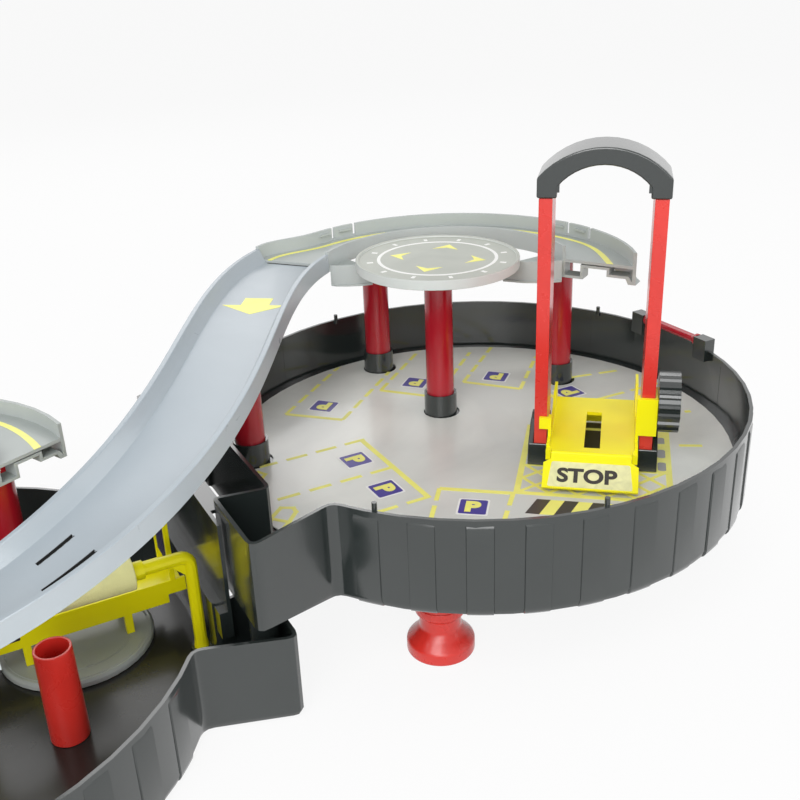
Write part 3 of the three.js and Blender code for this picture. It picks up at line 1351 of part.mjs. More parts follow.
// Gate on the track's neck end: two posts and a bar that the navy strips hang from.
const gateFoot = TRACK_RISE + TRACK_WALL_RISE + FIT_GAP;
const gateTop = gateFoot + GATE_RISE;
const gateHalf = TRACK_HALF_WIDTH - TRACK_WALL / 2;
const gateLow = [GATE_PLACE - GATE_POST / 2, GATE_PLACE + GATE_POST / 2];
const gatePosts = [-1, 1].map((side) => boxBetween(
  [gateLow[0], side * gateHalf - GATE_POST / 2, gateFoot],
  [gateLow[1], side * gateHalf + GATE_POST / 2, gateTop],
));
const gateBar = boxBetween([gateLow[0], -gateHalf, gateTop - GATE_BAR], [gateLow[1], gateHalf, gateTop]);
piece(wash, 'wash_gate', joined(...gatePosts, gateBar), 'yellow');

// Strips cut into one sheet, which stays whole along its upper edge.
function stripCurtain() {
  const half = gateHalf - GATE_POST / 2 - FIT_GAP;
  const high = gateTop - GATE_BAR - FIT_GAP;
  const pitch = 2 * half / STRIP_COUNT;
  const outline = [[half, high], [-half, high]];
  for (let i = 0; i < STRIP_COUNT; i += 1) {
    const start = -half + i * pitch;
    const end = start + pitch * (i < STRIP_COUNT - 1 ? STRIP_WIDTH_SHARE : 1);
    outline.push([start, high - STRIP_LENGTH], [end, high - STRIP_LENGTH]);
    if (i < STRIP_COUNT - 1) {
      outline.push([end, high - STRIP_BAND], [start + pitch, high - STRIP_BAND]);
    }
  }
  return slabAlongX(outline, GATE_PLACE - STRIP_THICK / 2, GATE_PLACE + STRIP_THICK / 2);
}

piece(wash, 'wash_strips', stripCurtain(), 'navy');

// One of the two bent pipes that carry the roller: foot, bend, gusset and knob.
function pipeShape(side) {
  const section = new THREE.Shape(circle([0, 0], PIPE_RADIUS, PIPE_SIDES)
    .map(([x, y]) => new THREE.Vector2(x, y)));
  const foot = PLATE_TOP + FIT_GAP - SHEET_TOP;
  const knobEnd = ROLLER_HALF + FIT_GAP;
  const bendStart = new THREE.Vector3(side * PIPE_REACH, 0, PIPE_RISE - PIPE_BEND);
  const bendEnd = new THREE.Vector3(side * (PIPE_REACH - PIPE_BEND), 0, PIPE_RISE);
  const corner = new THREE.Vector3(side * PIPE_REACH, 0, PIPE_RISE);
  const bend = new THREE.QuadraticBezierCurve3(bendStart, corner, bendEnd);
  const stations = [
    new THREE.Vector3(side * PIPE_REACH, 0, foot),
    ...bend.getPoints(PIPE_BEND_STEPS),
    new THREE.Vector3(side * knobEnd, 0, PIPE_RISE),
  ];
  const rings = stations.map((centre, i) => {
    const before = stations[Math.max(i - 1, 0)];
    const after = stations[Math.min(i + 1, stations.length - 1)];
    const way = after.clone().sub(before).normalize();
    const across = new THREE.Vector3(0, 1, 0);
    const normal = way.clone().cross(across);
    return section.getPoints().slice(0, PIPE_SIDES).map((point) => centre.clone()
      .addScaledVector(across, point.x)
      .addScaledVector(normal, point.y)
      .toArray());
  });
  const flat = circle([0, 0], PIPE_RADIUS, PIPE_SIDES);
  const flare = turned([
    [0, foot],
    [PIPE_FOOT_RADIUS, foot],
    [PIPE_FOOT_RADIUS, foot + PIPE_FOOT_HEIGHT],
    [PIPE_RADIUS, foot + 2 * PIPE_FOOT_HEIGHT],
    [0, foot + 2 * PIPE_FOOT_HEIGHT],
  ]).translate(side * PIPE_REACH, 0, 0);
  const web = [
    [side * PIPE_REACH, PIPE_RISE - GUSSET],
    [side * (PIPE_REACH - GUSSET), PIPE_RISE],
    [side * PIPE_REACH, PIPE_RISE],
  ];
  const gusset = slabAlongY(side > 0 ? web : web.reverse(), -GUSSET_THICK / 2, GUSSET_THICK / 2);
  const along = (radius, from, to) => {
    const ends = [side * from, side * to];
    return rod(radius, Math.min(...ends), Math.max(...ends), PIPE_SIDES)
      .rotateY(Math.PI / 2)
      .translate(0, 0, PIPE_RISE);
  };
  const knob = along(KNOB_RADIUS, knobEnd, knobEnd + KNOB_LENGTH);
  const bore = along(ROLLER_PIN_RADIUS + FIT_GAP, 0, knobEnd + ROLLER_PIN_LENGTH + FIT_GAP);
  return cut(joined(loft(rings, flat, flat), flare, gusset, knob), bore);
}

for (const [name, side] of [['wash_pipe_left', -1], ['wash_pipe_right', 1]]) {
  piece(wash, name, pipeShape(side), 'yellow').position.y = PIPE_LINE;
}

const rollerEnd = ROLLER_HALF + ROLLER_PIN_LENGTH;
const roller = turned([
  [0, -rollerEnd],
  [ROLLER_PIN_RADIUS, -rollerEnd],
  [ROLLER_PIN_RADIUS, -ROLLER_HALF],
  [ROLLER_RADIUS, -ROLLER_HALF],
  [ROLLER_RADIUS, ROLLER_HALF],
  [ROLLER_PIN_RADIUS, ROLLER_HALF],
  [ROLLER_PIN_RADIUS, rollerEnd],
  [0, rollerEnd],
]).rotateY(Math.PI / 2);
piece(wash, 'wash_roller', roller, 'rollerYellow').position.set(0, PIPE_LINE, PIPE_RISE);

// Open red tube that stands beside the turntable.
const redTube = piece(group, 'red_tube', turned([
  [TUBE_FOOT_RADIUS - TUBE_WALL, 0],
  [TUBE_FOOT_RADIUS, 0],
  [TUBE_MOUTH_RADIUS, TUBE_HEIGHT],
  [TUBE_MOUTH_RADIUS - TUBE_WALL, TUBE_HEIGHT],
  [TUBE_FOOT_RADIUS - TUBE_WALL, 0],
]), 'postRed');
redTube.position.set(...TUBE_PLACE, SHEET_TOP + FIT_GAP);

export default group;
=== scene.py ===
"""Pieces, prints, finishes, floor, lamps and camera of a toy parking garage with a lift."""
import json
import math

import bmesh
import bpy
from bpy.props import FloatProperty, FloatVectorProperty, IntProperty, PointerProperty
from mathutils import Matrix, Vector

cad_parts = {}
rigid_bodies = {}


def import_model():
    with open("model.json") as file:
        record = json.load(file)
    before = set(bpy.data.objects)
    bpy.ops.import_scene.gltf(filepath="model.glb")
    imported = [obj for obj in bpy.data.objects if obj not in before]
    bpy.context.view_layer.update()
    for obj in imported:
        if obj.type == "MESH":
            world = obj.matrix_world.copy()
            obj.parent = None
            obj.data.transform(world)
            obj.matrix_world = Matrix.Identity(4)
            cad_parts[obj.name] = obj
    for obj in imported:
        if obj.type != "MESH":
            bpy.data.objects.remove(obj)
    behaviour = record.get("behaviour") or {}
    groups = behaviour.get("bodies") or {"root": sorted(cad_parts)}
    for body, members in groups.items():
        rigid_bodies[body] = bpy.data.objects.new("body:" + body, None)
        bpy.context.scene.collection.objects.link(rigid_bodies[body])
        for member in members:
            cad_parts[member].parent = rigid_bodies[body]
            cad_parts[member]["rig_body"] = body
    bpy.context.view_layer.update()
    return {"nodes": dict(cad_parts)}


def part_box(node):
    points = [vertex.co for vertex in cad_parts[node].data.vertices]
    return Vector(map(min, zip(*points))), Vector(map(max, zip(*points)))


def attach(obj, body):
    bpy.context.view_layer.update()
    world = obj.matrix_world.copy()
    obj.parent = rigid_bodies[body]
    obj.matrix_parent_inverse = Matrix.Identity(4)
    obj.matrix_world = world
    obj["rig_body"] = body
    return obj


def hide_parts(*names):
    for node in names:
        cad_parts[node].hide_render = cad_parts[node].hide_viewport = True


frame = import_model()

bl_info = {
    "name": "Toy parking garage",
    "version": (1, 0, 0),
    "blender": (4, 5, 0),
    "location": "3D View > Sidebar > Garage",
    "description": "Dressed pieces, prints and finishes of a toy parking garage with a lift",
    "category": "Object",
}

# Places and sizes in millimetres, as in the part's own source
MM = 0.001
TRAY_X = 206.0
RIM_RADIUS = 190.0
WALL = 2.4
TRAY_DEPTH = 60.0
RAISED_BY = 68.0
RAISED_BELLY = 5.5
UNDER_ROUND = 7.0
SHEET_RADIUS = 182.0
UPPER_SHEET = 87.2
LOWER_SHEET = 19.2
JUNCTION_HALF = 100.8
DECK_CENTRE = (206.0, 37.0)
LOWER_DECK_CENTRE = (-206.0, 37.0)
DECK_OUTER = 134.5
DECK_INNER = 88.0
UPPER_ROAD = 204.0
LOWER_ROAD = 136.0
UPPER_WALL_TOP = 214.0
PAD_CENTRE = (206.0, 52.0)
PAD_TOP = 210.5
RAMP_LENGTH = 400.0
RAMP_WIDTH = 62.0
RAMP_WALL_RISE = 10.0
RAMP_FLOOR = 2.2
RAMP_SKIRT = 13.4
RAMP_SHARES = (-0.05, 0.88)
RAMP_BOSS_SHARE = 0.204
RAMP_BOSS_SIDE = -5.7
LIFT_PLACE = (250.0, -79.4, 87.2)
LIFT_TURN = math.radians(-40.0)
FLAP_HINGE = (0.0, -22.6, 17.55)
FLAP_DROP = math.radians(33.0)
FLAP_THICK = 2.0
WASH_PLACE = (-95.0, 0.0, LOWER_SHEET)

# Angles in degrees above which an edge stays sharp
SHARP_ROAD = 26.0
SHARP_TRIM = 28.0
SHARP_PRINT = 30.0
SHARP_TURNED = 38.0

# Points nearer than these, in metres, are one, and so are faces within this angle in degrees
WELD = 0.000002
NODE_WELD = 0.00001
FLAT_ANGLE = 1.0


# Finishes

# The last group value is painted light: how much paler faces that stand upright are made
GROUP_VALUES = ("Drift", "Drift Scale", "Gloss", "Gloss Spread", "Grain Scale", "Dust", "Painted Side Light")
DRIFT_TINT = (0.42, 0.43, 0.45, 1.0)
# Painted light: the pale colour laid over faces that stand upright
SIDE_LIGHT_TINT = (0.80, 0.84, 0.84, 1.0)
DUST_TINT = (0.55, 0.55, 0.53, 1.0)

# Spans that are stretched from zero to one: of the drift, of how upright a face stands for the painted side
# light, and of how far a face looks up
CLOUD_SPAN = (0.32, 0.68)
SIDE_SPAN = (0.85, 0.15)
TOP_SPAN = (0.6, 1.0)

SPECK_SCALE = 140.0
SMEAR_SCALE = 32.0
COAT_ROUGHNESS = 0.12
PLASTIC_IOR = 1.5
BUMP_DEPTH = 0.0004

# The group's values in their order, then bump strength, coat and shine
FINISHES = {
    "black": (0.22, 16.0, 0.17, 0.14, 700.0, 0.02, 0.0, 0.07, 0.35, 0.75),
    "sheet": (0.55, 7.0, 0.30, 0.16, 260.0, 0.08, 0.0, 0.06, 0.30, 0.5),
    "lower_sheet": (0.30, 13.0, 0.24, 0.10, 260.0, 0.01, 0.0, 0.05, 0.10, 0.3),
    "deck": (0.16, 20.0, 0.36, 0.16, 900.0, 0.08, 0.30, 0.12, 0.10, 0.5),
    "ramp": (0.20, 9.0, 0.30, 0.18, 1100.0, 0.05, 0.24, 0.10, 0.15, 0.5),
    "pad": (0.20, 30.0, 0.40, 0.16, 900.0, 0.10, 0.55, 0.12, 0.05, 0.5),
    "column_red": (0.16, 18.0, 0.22, 0.12, 800.0, 0.02, 0.0, 0.08, 0.30, 0.5),
    "post_red": (0.14, 22.0, 0.28, 0.14, 800.0, 0.02, 0.0, 0.08, 0.20, 0.5),
    "yellow": (0.08, 24.0, 0.34, 0.12, 800.0, 0.01, 0.0, 0.07, 0.06, 0.35),
    "roller_yellow": (0.18, 90.0, 0.75, 0.12, 1400.0, 0.02, 0.0, 0.45, 0.0, 0.5),
    "navy": (0.20, 60.0, 0.45, 0.14, 900.0, 0.04, 0.0, 0.20, 0.0, 0.5),
    "line_yellow": (0.16, 70.0, 0.38, 0.18, 900.0, 0.03, 0.0, 0.05, 0.0, 0.5),
    "sign_navy": (0.12, 60.0, 0.32, 0.14, 900.0, 0.03, 0.0, 0.05, 0.1, 0.5),
    "ink_white": (0.10, 60.0, 0.36, 0.14, 900.0, 0.05, 0.0, 0.05, 0.0, 0.5),
    "dark_ink_and_shade": (0.20, 60.0, 0.34, 0.14, 900.0, 0.04, 0.0, 0.05, 0.0, 0.4),
    "panel_pale": (0.30, 160.0, 0.36, 0.14, 900.0, 0.03, 0.0, 0.05, 0.0, 0.5),
    "cell_grey": (0.22, 60.0, 0.36, 0.14, 900.0, 0.03, 0.0, 0.05, 0.0, 0.5),
    "shade_dark": (0.10, 60.0, 0.60, 0.10, 900.0, 0.00, 0.0, 0.05, 0.0, 0.3),
}


def new_group(name, inputs, outputs):
    """An empty shader group with its named sockets."""
    group = bpy.data.node_groups.new(name, "ShaderNodeTree")
    for label, kind in inputs:
        group.interface.new_socket(label, in_out="INPUT", socket_type="NodeSocket" + kind)
    for label, kind in outputs:
        group.interface.new_socket(label, in_out="OUTPUT", socket_type="NodeSocket" + kind)
    return group


def wire(tree, node_type, settings=None, inputs=None):
    """A node with its settings, its values and what feeds it."""
    node = tree.nodes.new(node_type)
    for key, value in (settings or {}).items():
        setattr(node, key, value)
    for key, value in (inputs or {}).items():
        if isinstance(value, bpy.types.NodeSocket):
            tree.links.new(value, node.inputs[key])
        else:
            node.inputs[key].default_value = value
    return node


def worked(tree, operation, *values, clamp=False):
    """The result of a sum on one or two values."""
    settings = {"operation": operation, "use_clamp": clamp}
    return wire(tree, "ShaderNodeMath", settings, dict(enumerate(values))).outputs[0]


def spread(tree, value, low, high):
    """A value stretched so that low becomes zero and high becomes one."""
    node = wire(tree, "ShaderNodeMapRange", None, {"Value": value, "From Min": low, "From Max": high})
    return node.outputs["Result"]


def noise(tree, place, scale, **more):
    """An uneven value over the surface."""
    return wire(tree, "ShaderNodeTexNoise", None, {"Vector": place, "Scale": scale, **more}).outputs["Fac"]


def blended(tree, share, first, second, way="MIX"):
    """One colour laid over another by a share."""
    node = wire(tree, "ShaderNodeMix", {"data_type": "RGBA", "blend_type": way},
                {"Factor": share, "A": first, "B": second})
    return node.outputs["Result"]


def moulded_group():
    """Colour drift, settled dust, uneven gloss and fine grain of moulded plastic, and painted light that
    makes upright faces paler.
    """
    group = bpy.data.node_groups.get("Moulded plastic")
    if group:
        return group
    group = new_group(
        "Moulded plastic",
        [("Colour", "Color")] + [(label, "Float") for label in GROUP_VALUES],
        [("Colour", "Color"), ("Roughness", "Float"), ("Height", "Float")])
    given = group.nodes.new("NodeGroupInput").outputs
    place = group.nodes.new("ShaderNodeTexCoord").outputs["Object"]
    normal = group.nodes.new("ShaderNodeNewGeometry").outputs["Normal"]
    upward = wire(group, "ShaderNodeSeparateXYZ", None, {0: normal}).outputs["Z"]
    cloud = noise(group, place, given["Drift Scale"], Detail=5.0, Distortion=0.6)
    drift = worked(group, "MULTIPLY", spread(group, cloud, *CLOUD_SPAN), given["Drift"])
    drifted = blended(group, drift, given["Colour"], DRIFT_TINT, "MULTIPLY")
    # Painted light: faces that stand upright are made paler, as if more brightly lit
    sideways = spread(group, worked(group, "ABSOLUTE", upward), *SIDE_SPAN)
    side_light_share = worked(group, "MULTIPLY", sideways, given["Painted Side Light"])
    side_lit = blended(group, side_light_share, drifted, SIDE_LIGHT_TINT)
    specks = noise(group, place, SPECK_SCALE, Detail=4.0, Roughness=0.7)
    resting = worked(group, "MULTIPLY", spread(group, upward, *TOP_SPAN), specks)
    dust = worked(group, "MULTIPLY", resting, given["Dust"])
    dusted = blended(group, dust, side_lit, DUST_TINT)
    smear = noise(group, place, SMEAR_SCALE, Detail=6.0, Roughness=0.65, Distortion=1.2)
    swing = worked(group, "MULTIPLY", worked(group, "SUBTRACT", smear, 0.5), given["Gloss Spread"])
    gloss = worked(group, "ADD", given["Gloss"], swing)
    rough = worked(group, "ADD", gloss, dust, clamp=True)
    grain = noise(group, place, given["Grain Scale"], Detail=3.0)
    height = worked(group, "ADD", grain, worked(group, "MULTIPLY", cloud, 0.5))
    ends = group.nodes.new("NodeGroupOutput")
    for label, value in (("Colour", dusted), ("Roughness", rough), ("Height", height)):
        group.links.new(value, ends.inputs[label])
    return group


def finish_of(name):
    """The material of a finish, built once from its colour setting."""
    material = bpy.data.materials.get("garage_" + name)
    if material:
        return material
    *worn, bump, coat, shine = FINISHES[name]
    colour = getattr(bpy.context.scene.garage_colours, name)
    material = bpy.data.materials.new("garage_" + name)
    material.use_nodes = True
    tree = material.node_tree
    shader = tree.nodes["Principled BSDF"]
    wear = wire(tree, "ShaderNodeGroup", {"node_tree": moulded_group()},
                {"Colour": (*colour, 1.0), **dict(zip(GROUP_VALUES, worn))})
    relief = wire(tree, "ShaderNodeBump", None,
                  {"Height": wear.outputs["Height"], "Strength": bump, "Distance": BUMP_DEPTH})
    tree.links.new(wear.outputs["Colour"], shader.inputs["Base Color"])
    tree.links.new(wear.outputs["Roughness"], shader.inputs["Roughness"])
    tree.links.new(relief.outputs["Normal"], shader.inputs["Normal"])
    shader.inputs["Coat Weight"].default_value = coat
    shader.inputs["Coat Roughness"].default_value = COAT_ROUGHNESS
    shader.inputs["Specular IOR Level"].default_value = shine
    shader.inputs["IOR"].default_value = PLASTIC_IOR
    return material


# Shapes

def gathered(parts):
    """Points and faces of several shapes as one."""
    points, faces = [], []
    for part_points, part_faces in parts:
        shift = len(points)
        points.extend(part_points)
        faces.extend([index + shift for index in face] for face in part_faces)
    return points, faces


def moved(part, matrix):
    """A shape carried by a matrix whose lengths are millimetres."""
    points, faces = part
    return [tuple(matrix @ Vector(point)) for point in points], faces


def mesh_of(name, part):
    """A mesh in metres with its faces turned outwards."""
    points, faces = part
    mesh = bpy.data.meshes.new(name)
    mesh.from_pydata([[value * MM for value in point] for point in points], [], faces)
    work = bmesh.new()
    work.from_mesh(mesh)
    bmesh.ops.remove_doubles(work, verts=work.verts, dist=WELD)
    bmesh.ops.recalc_face_normals(work, faces=work.faces)
    work.to_mesh(mesh)
    work.free()
    return mesh


def node_mesh(node):
    """A solid's own mesh as a new one, its flat faces made whole again."""
    mesh = frame["nodes"][node].data.copy()
    if "custom_normal" in mesh.attributes:
        mesh.attributes.remove(mesh.attributes["custom_normal"])
    work = bmesh.new()
    work.from_mesh(mesh)
    bmesh.ops.remove_doubles(work, verts=work.verts, dist=NODE_WELD)
    limit = math.radians(FLAT_ANGLE)
    bmesh.ops.dissolve_limit(work, angle_limit=limit, verts=work.verts, edges=work.edges)
    work.to_mesh(mesh)
    work.free()
    return mesh


def settled(holder):
    """The mesh that an object's modifiers leave."""
    graph = bpy.context.evaluated_depsgraph_get()
    mesh = bpy.data.meshes.new_from_object(
        holder.evaluated_get(graph), preserve_all_data_layers=True, depsgraph=graph)
    bpy.data.objects.remove(holder)
    return mesh


def held(mesh):
    """An object that holds a mesh while it is worked on."""
    holder = bpy.data.objects.new("workpiece", mesh)
    bpy.context.scene.collection.objects.link(holder)
    return holder


def pierced(mesh, tool_part):
    """The mesh with the tool's space taken out of it."""
    holder = held(mesh)
    tool = held(mesh_of("tool", tool_part))
    cutter = holder.modifiers.new("Cut", "BOOLEAN")
    cutter.operation = "DIFFERENCE"
    cutter.solver = "EXACT"
    cutter.object = tool
    result = settled(holder)
    bpy.data.objects.remove(tool)
    return result


def rounded(mesh, width, segments=2, angle=30.0):
    """The mesh with rounded edges, its flat faces still shaded flat."""
    holder = held(mesh)
    mesh.shade_smooth()
    edges = holder.modifiers.new("Edges", "BEVEL")
    edges.width = width * MM
    edges.segments = segments
    edges.limit_method = "ANGLE"
    edges.angle_limit = math.radians(angle)
    edges.use_clamp_overlap = True
    normals = holder.modifiers.new("Normals", "WEIGHTED_NORMAL")
    normals.keep_sharp = False
    return settled(holder)


def add_piece(name, mesh, finish, body, nodes=(), sharp=None):
    """A piece of the garage on its body, with one finish."""
    piece = bpy.data.objects.new(name, mesh)
    bpy.context.scene.collection.objects.link(piece)
    mesh.materials.clear()
    mesh.materials.append(finish_of(finish))
    if sharp is not None:
        mesh.shade_smooth()
        mesh.set_sharp_from_angle(angle=math.radians(sharp))
    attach(piece, body)
    if nodes:
        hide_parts(*nodes)
    return piece


def add_shape(name, part, finish, body, nodes=(), sharp=SHARP_PRINT):
    """A piece of the garage straight from a shape's points and faces."""
    return add_piece(name, mesh_of(name, part), finish, body, nodes, sharp)


def rounded_node(node, finish, width, segments=2):
    """A solid's shape again, with the rounded edges that moulding gives it."""
    mesh = rounded(node_mesh(node), width, segments)
    return add_piece("dressed_" + node, mesh, finish, frame["nodes"][node]["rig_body"], (node,))


def rectangle(left, low, right, high):
    """Outline of a rectangle."""
    return [(left, low), (right, low), (right, high), (left, high)]


def lofted(rows):
    """A closed body through rows of points, each row as long as the others."""
    count, last = len(rows[0]), (len(rows) - 1) * len(rows[0])
    points = [point for row in rows for point in row]
    faces = [[i + k, i + (k + 1) % count, i + count + (k + 1) % count, i + count + k]
             for i in range(0, last, count) for k in range(count)]
    return points, faces + [list(range(count))[::-1], [last + k for k in range(count)]]


def slab(feet, tops):
    """A closed slab between two outlines in space."""
    count = len(feet)
    faces = [list(range(count))[::-1], [count + i for i in range(count)]]
    faces += [[i, (i + 1) % count, count + (i + 1) % count, count + i] for i in range(count)]
    return feet + tops, faces


def extruded(outline, low, high):
    """A closed slab from an outline in the ground plane."""
    return slab([(x, y, low) for x, y in outline], [(x, y, high) for x, y in outline])


def eased(profile, radius, steps=3):
    """A closed outline with each corner off its axis replaced by a short curve."""
    result = []
    count = len(profile)
    for i, corner in enumerate(profile):
        here = Vector(corner)
        before = Vector(profile[i - 1]) - here
        after = Vector(profile[(i + 1) % count]) - here
        if here.x == 0.0:
            result.append(tuple(here))
            continue
        reach = min(radius, before.length * 0.45, after.length * 0.45)
        start = here + before.normalized() * reach
        end = here + after.normalized() * reach
        for k in range(steps + 1):
            share = k / steps
            spot = start * (1 - share) ** 2 + here * 2 * share * (1 - share) + end * share ** 2
            result.append(tuple(spot))
    return result


def turned(profile, steps=56):
    """A body turned about the vertical from a closed outline of radius and height."""
    count = len(profile)
    points, faces = [], []
    for i in range(steps):
        angle = 2 * math.pi * i / steps
        points += [(r * math.cos(angle), r * math.sin(angle), z) for r, z in profile]
    for i in range(steps):
        here, there = i * count, (i + 1) % steps * count
        faces += [[here + k, there + k, there + (k + 1) % count, here + (k + 1) % count]
                  for k in range(count)]
    return points, faces


def polar(centre, radius, angle):
    """A point at a distance and an angle from a centre."""
    return centre[0] + radius * math.cos(angle), centre[1] + radius * math.sin(angle)


def band(centre, inner, outer, start, end, steps=24):
    """Outline of a curved strip between two radii, its angles in degrees."""
    angles = [math.radians(start + (end - start) * i / steps) for i in range(steps + 1)]
    return ([polar(centre, outer, angle) for angle in angles]
            + [polar(centre, inner, angle) for angle in reversed(angles)])


def stroke(start, end, width):
    """Outline of a straight line."""
    start, end = Vector(start), Vector(end)
    way = (end - start).normalized()
    side = Vector((-way.y, way.x)) * width / 2
    return [tuple(spot) for spot in (start - side, end - side, end + side, start + side)]


def chain(points, width):
    """Outlines of joined straight lines, each run on to the outside of its corners."""
    lines = []
    for start, end in zip(points, points[1:]):
        start, end = Vector(start), Vector(end)
        more = (end - start).normalized() * width / 2
        lines.append(stroke(start - more, end + more, width))
    return lines


def dashes(start, end, width, dash=16.0, gap=7.0, shortest=2.0):
    """Outlines of a dashed line."""
    start, end = Vector(start), Vector(end)
    length = (end - start).length
    way = (end - start).normalized()
    lines = []
    reach = 0.0
    while reach < length - shortest:
        stop = min(reach + dash, length)
        lines.append(stroke(start + way * reach, start + way * stop, width))
        reach += dash + gap
    return lines


def clipped(outline, centre, radius, sides=120):
    """The part of an outline inside a round sheet."""
    for i in range(sides):
        angle = 2 * math.pi * (i + 0.5) / sides
        way = Vector((math.cos(angle), math.sin(angle)))
        reach = radius * math.cos(math.pi / sides) + way.dot(Vector(centre))
        kept = []
        for k, corner in enumerate(outline):
            here, before = Vector(corner), Vector(outline[k - 1])
            inside, was_inside = way.dot(here) <= reach, way.dot(before) <= reach
            if inside != was_inside:
                share = (reach - way.dot(before)) / way.dot(here - before)
                kept.append(tuple(before + (here - before) * share))
            if inside:
                kept.append(tuple(here))
        outline = kept
        if len(outline) < 3:
            return []
    return outline


def laid(outline, place):
    """An outline carried over the ground plane by a matrix."""
    return [tuple((place @ Vector((x, y, 0.0))).xy) for x, y in outline]


# Prints: how deep they start, what each outline adds, and the sheet's bare edge
INK_SUNK = 0.1
INK_STEP = 0.003
SHEET_MARGIN = 1.5


def printed(name, outlines, height, finish, body, layer=1, carry=None):
    """A print of thin ink on a flat surface, each outline a hair above the last."""
    ink = bpy.context.scene.garage_sizes.ink_thickness
    part = gathered([extruded(outline, height - INK_SUNK, height + ink * layer + INK_STEP * i)
                     for i, outline in enumerate(outlines) if outline])
    return add_shape(name, moved(part, carry) if carry else part, finish, body)


def sheet_print(name, outlines, finish, layer=1):
    """A print on the raised floor sheet, cut off near the sheet's edge."""
    outlines = [clipped(outline, (TRAY_X, 0.0), SHEET_RADIUS - SHEET_MARGIN) for outline in outlines]
    return printed(name, outlines, UPPER_SHEET, finish, "frame", layer)


def word_mesh(name, text, width, height, thick, bold):
    """Raised letters whose box has the asked width and height, centred on their origin."""
    curve = bpy.data.curves.new(name, "FONT")
    curve.body = text
    curve.offset = bold
    curve.extrude = 0.5
    curve.resolution_u = 6
    holder = bpy.data.objects.new(name, curve)
    bpy.context.scene.collection.objects.link(holder)
    graph = bpy.context.evaluated_depsgraph_get()
    mesh = bpy.data.meshes.new_from_object(holder.evaluated_get(graph), depsgraph=graph)
    bpy.data.objects.remove(holder)
    low = [min(vertex.co[axis] for vertex in mesh.vertices) for axis in range(3)]
    high = [max(vertex.co[axis] for vertex in mesh.vertices) for axis in range(3)]
    scale = [size * MM / (high[axis] - low[axis]) for axis, size in enumerate((width, height, thick))]
    for vertex in mesh.vertices:
        vertex.co = [(vertex.co[axis] - (low[axis] + high[axis]) / 2) * scale[axis] for axis in range(3)]
    return mesh


def place_of(x, y, z, turn=0.0):
    """A place with a turn about the vertical."""
    return Matrix.Translation((x, y, z)) @ Matrix.Rotation(turn, 4, "Z")


def lift_place():
    """The lift's own place on the raised sheet."""
    return place_of(*LIFT_PLACE, LIFT_TURN)


def in_metres(matrix):
    """A matrix whose shift in millimetres becomes metres."""
    scaled = matrix.copy()
    scaled.translation = matrix.translation * MM
    return scaled


# Ramp and deck roads

# The ramp's start from the deck's centre, and its heading in degrees and fall as it runs
RAMP_START = (DECK_OUTER * 0.9284, math.radians(143.14))
RAMP_HEADING = (-136.0, 88.0, -156.0)
RAMP_DROP = 2.0
RAMP_FALL = (7.0, 77.0)
RAMP_TRACE = 200
THROAT_REACH = 0.4


def ramp_heading(share):
    """The way that the ramp runs at a share of its run, as an angle."""
    start, first, second = RAMP_HEADING
    return math.radians(start + first * share + second * share * share)


def ramp_station(share):
    """Centre, heading and wall top of the ramp at a share of its run."""
    steps = max(1, round(abs(share) * RAMP_TRACE))
    step = share / steps
    spot = polar(DECK_CENTRE, *RAMP_START)
    for i in range(steps):
        spot = polar(spot, RAMP_LENGTH * step, ramp_heading((i + 0.5) * step))
    run = max(share, 0.0)
    top = UPPER_WALL_TOP - RAMP_DROP - RAMP_FALL[0] * run - RAMP_FALL[1] * run * run
    return spot, ramp_heading(share), top


def ramp_sides(share):
    """Left and right edge and wall top of the ramp at a share of its run."""
    spot, heading, top = ramp_station(share)
    half = RAMP_WIDTH / 2
    return polar(spot, half, heading + math.pi / 2), polar(spot, half, heading - math.pi / 2), top


def on_ramp(share, side, lift=0.0):
    """A point on the ramp's road, side millimetres to the left of its middle."""
    spot, heading, top = ramp_station(share)
    x, y = polar(spot, side, heading + math.pi / 2)
    return x, y, top - RAMP_WALL_RISE + lift


def road_part(stations, section):
    """A trough along a road from its cross section of side, distance in and drop."""
    rows = []
    for left, right, top in stations:
        across = (Vector(right) - Vector(left)).normalized()
        row = []
        for side, inwards, drop in section:
            edge = Vector(left) + across * inwards if side == "left" else Vector(right) - across * inwards
            row.append((edge.x, edge.y, top - drop))
        rows.append(row)
    return lofted(rows)


def throat(ring_end, ring_angle, road_end, road_angle, steps=16):
    """A smooth side of the deck between its ring and the ramp."""
    start, end = Vector(ring_end), Vector(road_end)
    handle = (end - start).length * THROAT_REACH
    first = start + Vector((-math.sin(ring_angle), math.cos(ring_angle))) * handle
    second = end - Vector((math.cos(road_angle), math.sin(road_angle))) * handle
    line = []
    for i in range(1, steps + 1):
        t = i / steps
        line.append(tuple(start * (1 - t) ** 3 + first * 3 * t * (1 - t) ** 2
                          + second * 3 * t * t * (1 - t) + end * t ** 3))
    return line


def deck_side(centre, radius, start, end, road_end, road_angle, steps=60):
    """One edge of a deck, from its open end round the ring to the ramp."""
    ring = [polar(centre, radius, math.radians(start + (end - start) * i / steps)) for i in range(steps + 1)]
    return ring + throat(ring[-1], math.radians(end), road_end, road_angle)


def upper_deck_sides():
    """Inner and outer edge of the upper deck."""
    left, right, _ = ramp_sides(RAMP_SHARES[0])
    heading = ramp_station(RAMP_SHARES[0])[1]
    return (deck_side(DECK_CENTRE, DECK_INNER, -14.2, 100.0, left, heading),
            deck_side(DECK_CENTRE, DECK_OUTER, -30.8, 112.0, right, heading))


def lower_deck_sides():
    """Inner and outer edge of the lower deck."""
    left, right, _ = ramp_sides(RAMP_SHARES[1])
    heading = ramp_station(RAMP_SHARES[1])[1] + math.pi
    return (deck_side(LOWER_DECK_CENTRE, DECK_INNER, 0.0, 225.0, right, heading),
            deck_side(LOWER_DECK_CENTRE, DECK_OUTER, 9.0, 225.0, left, heading))


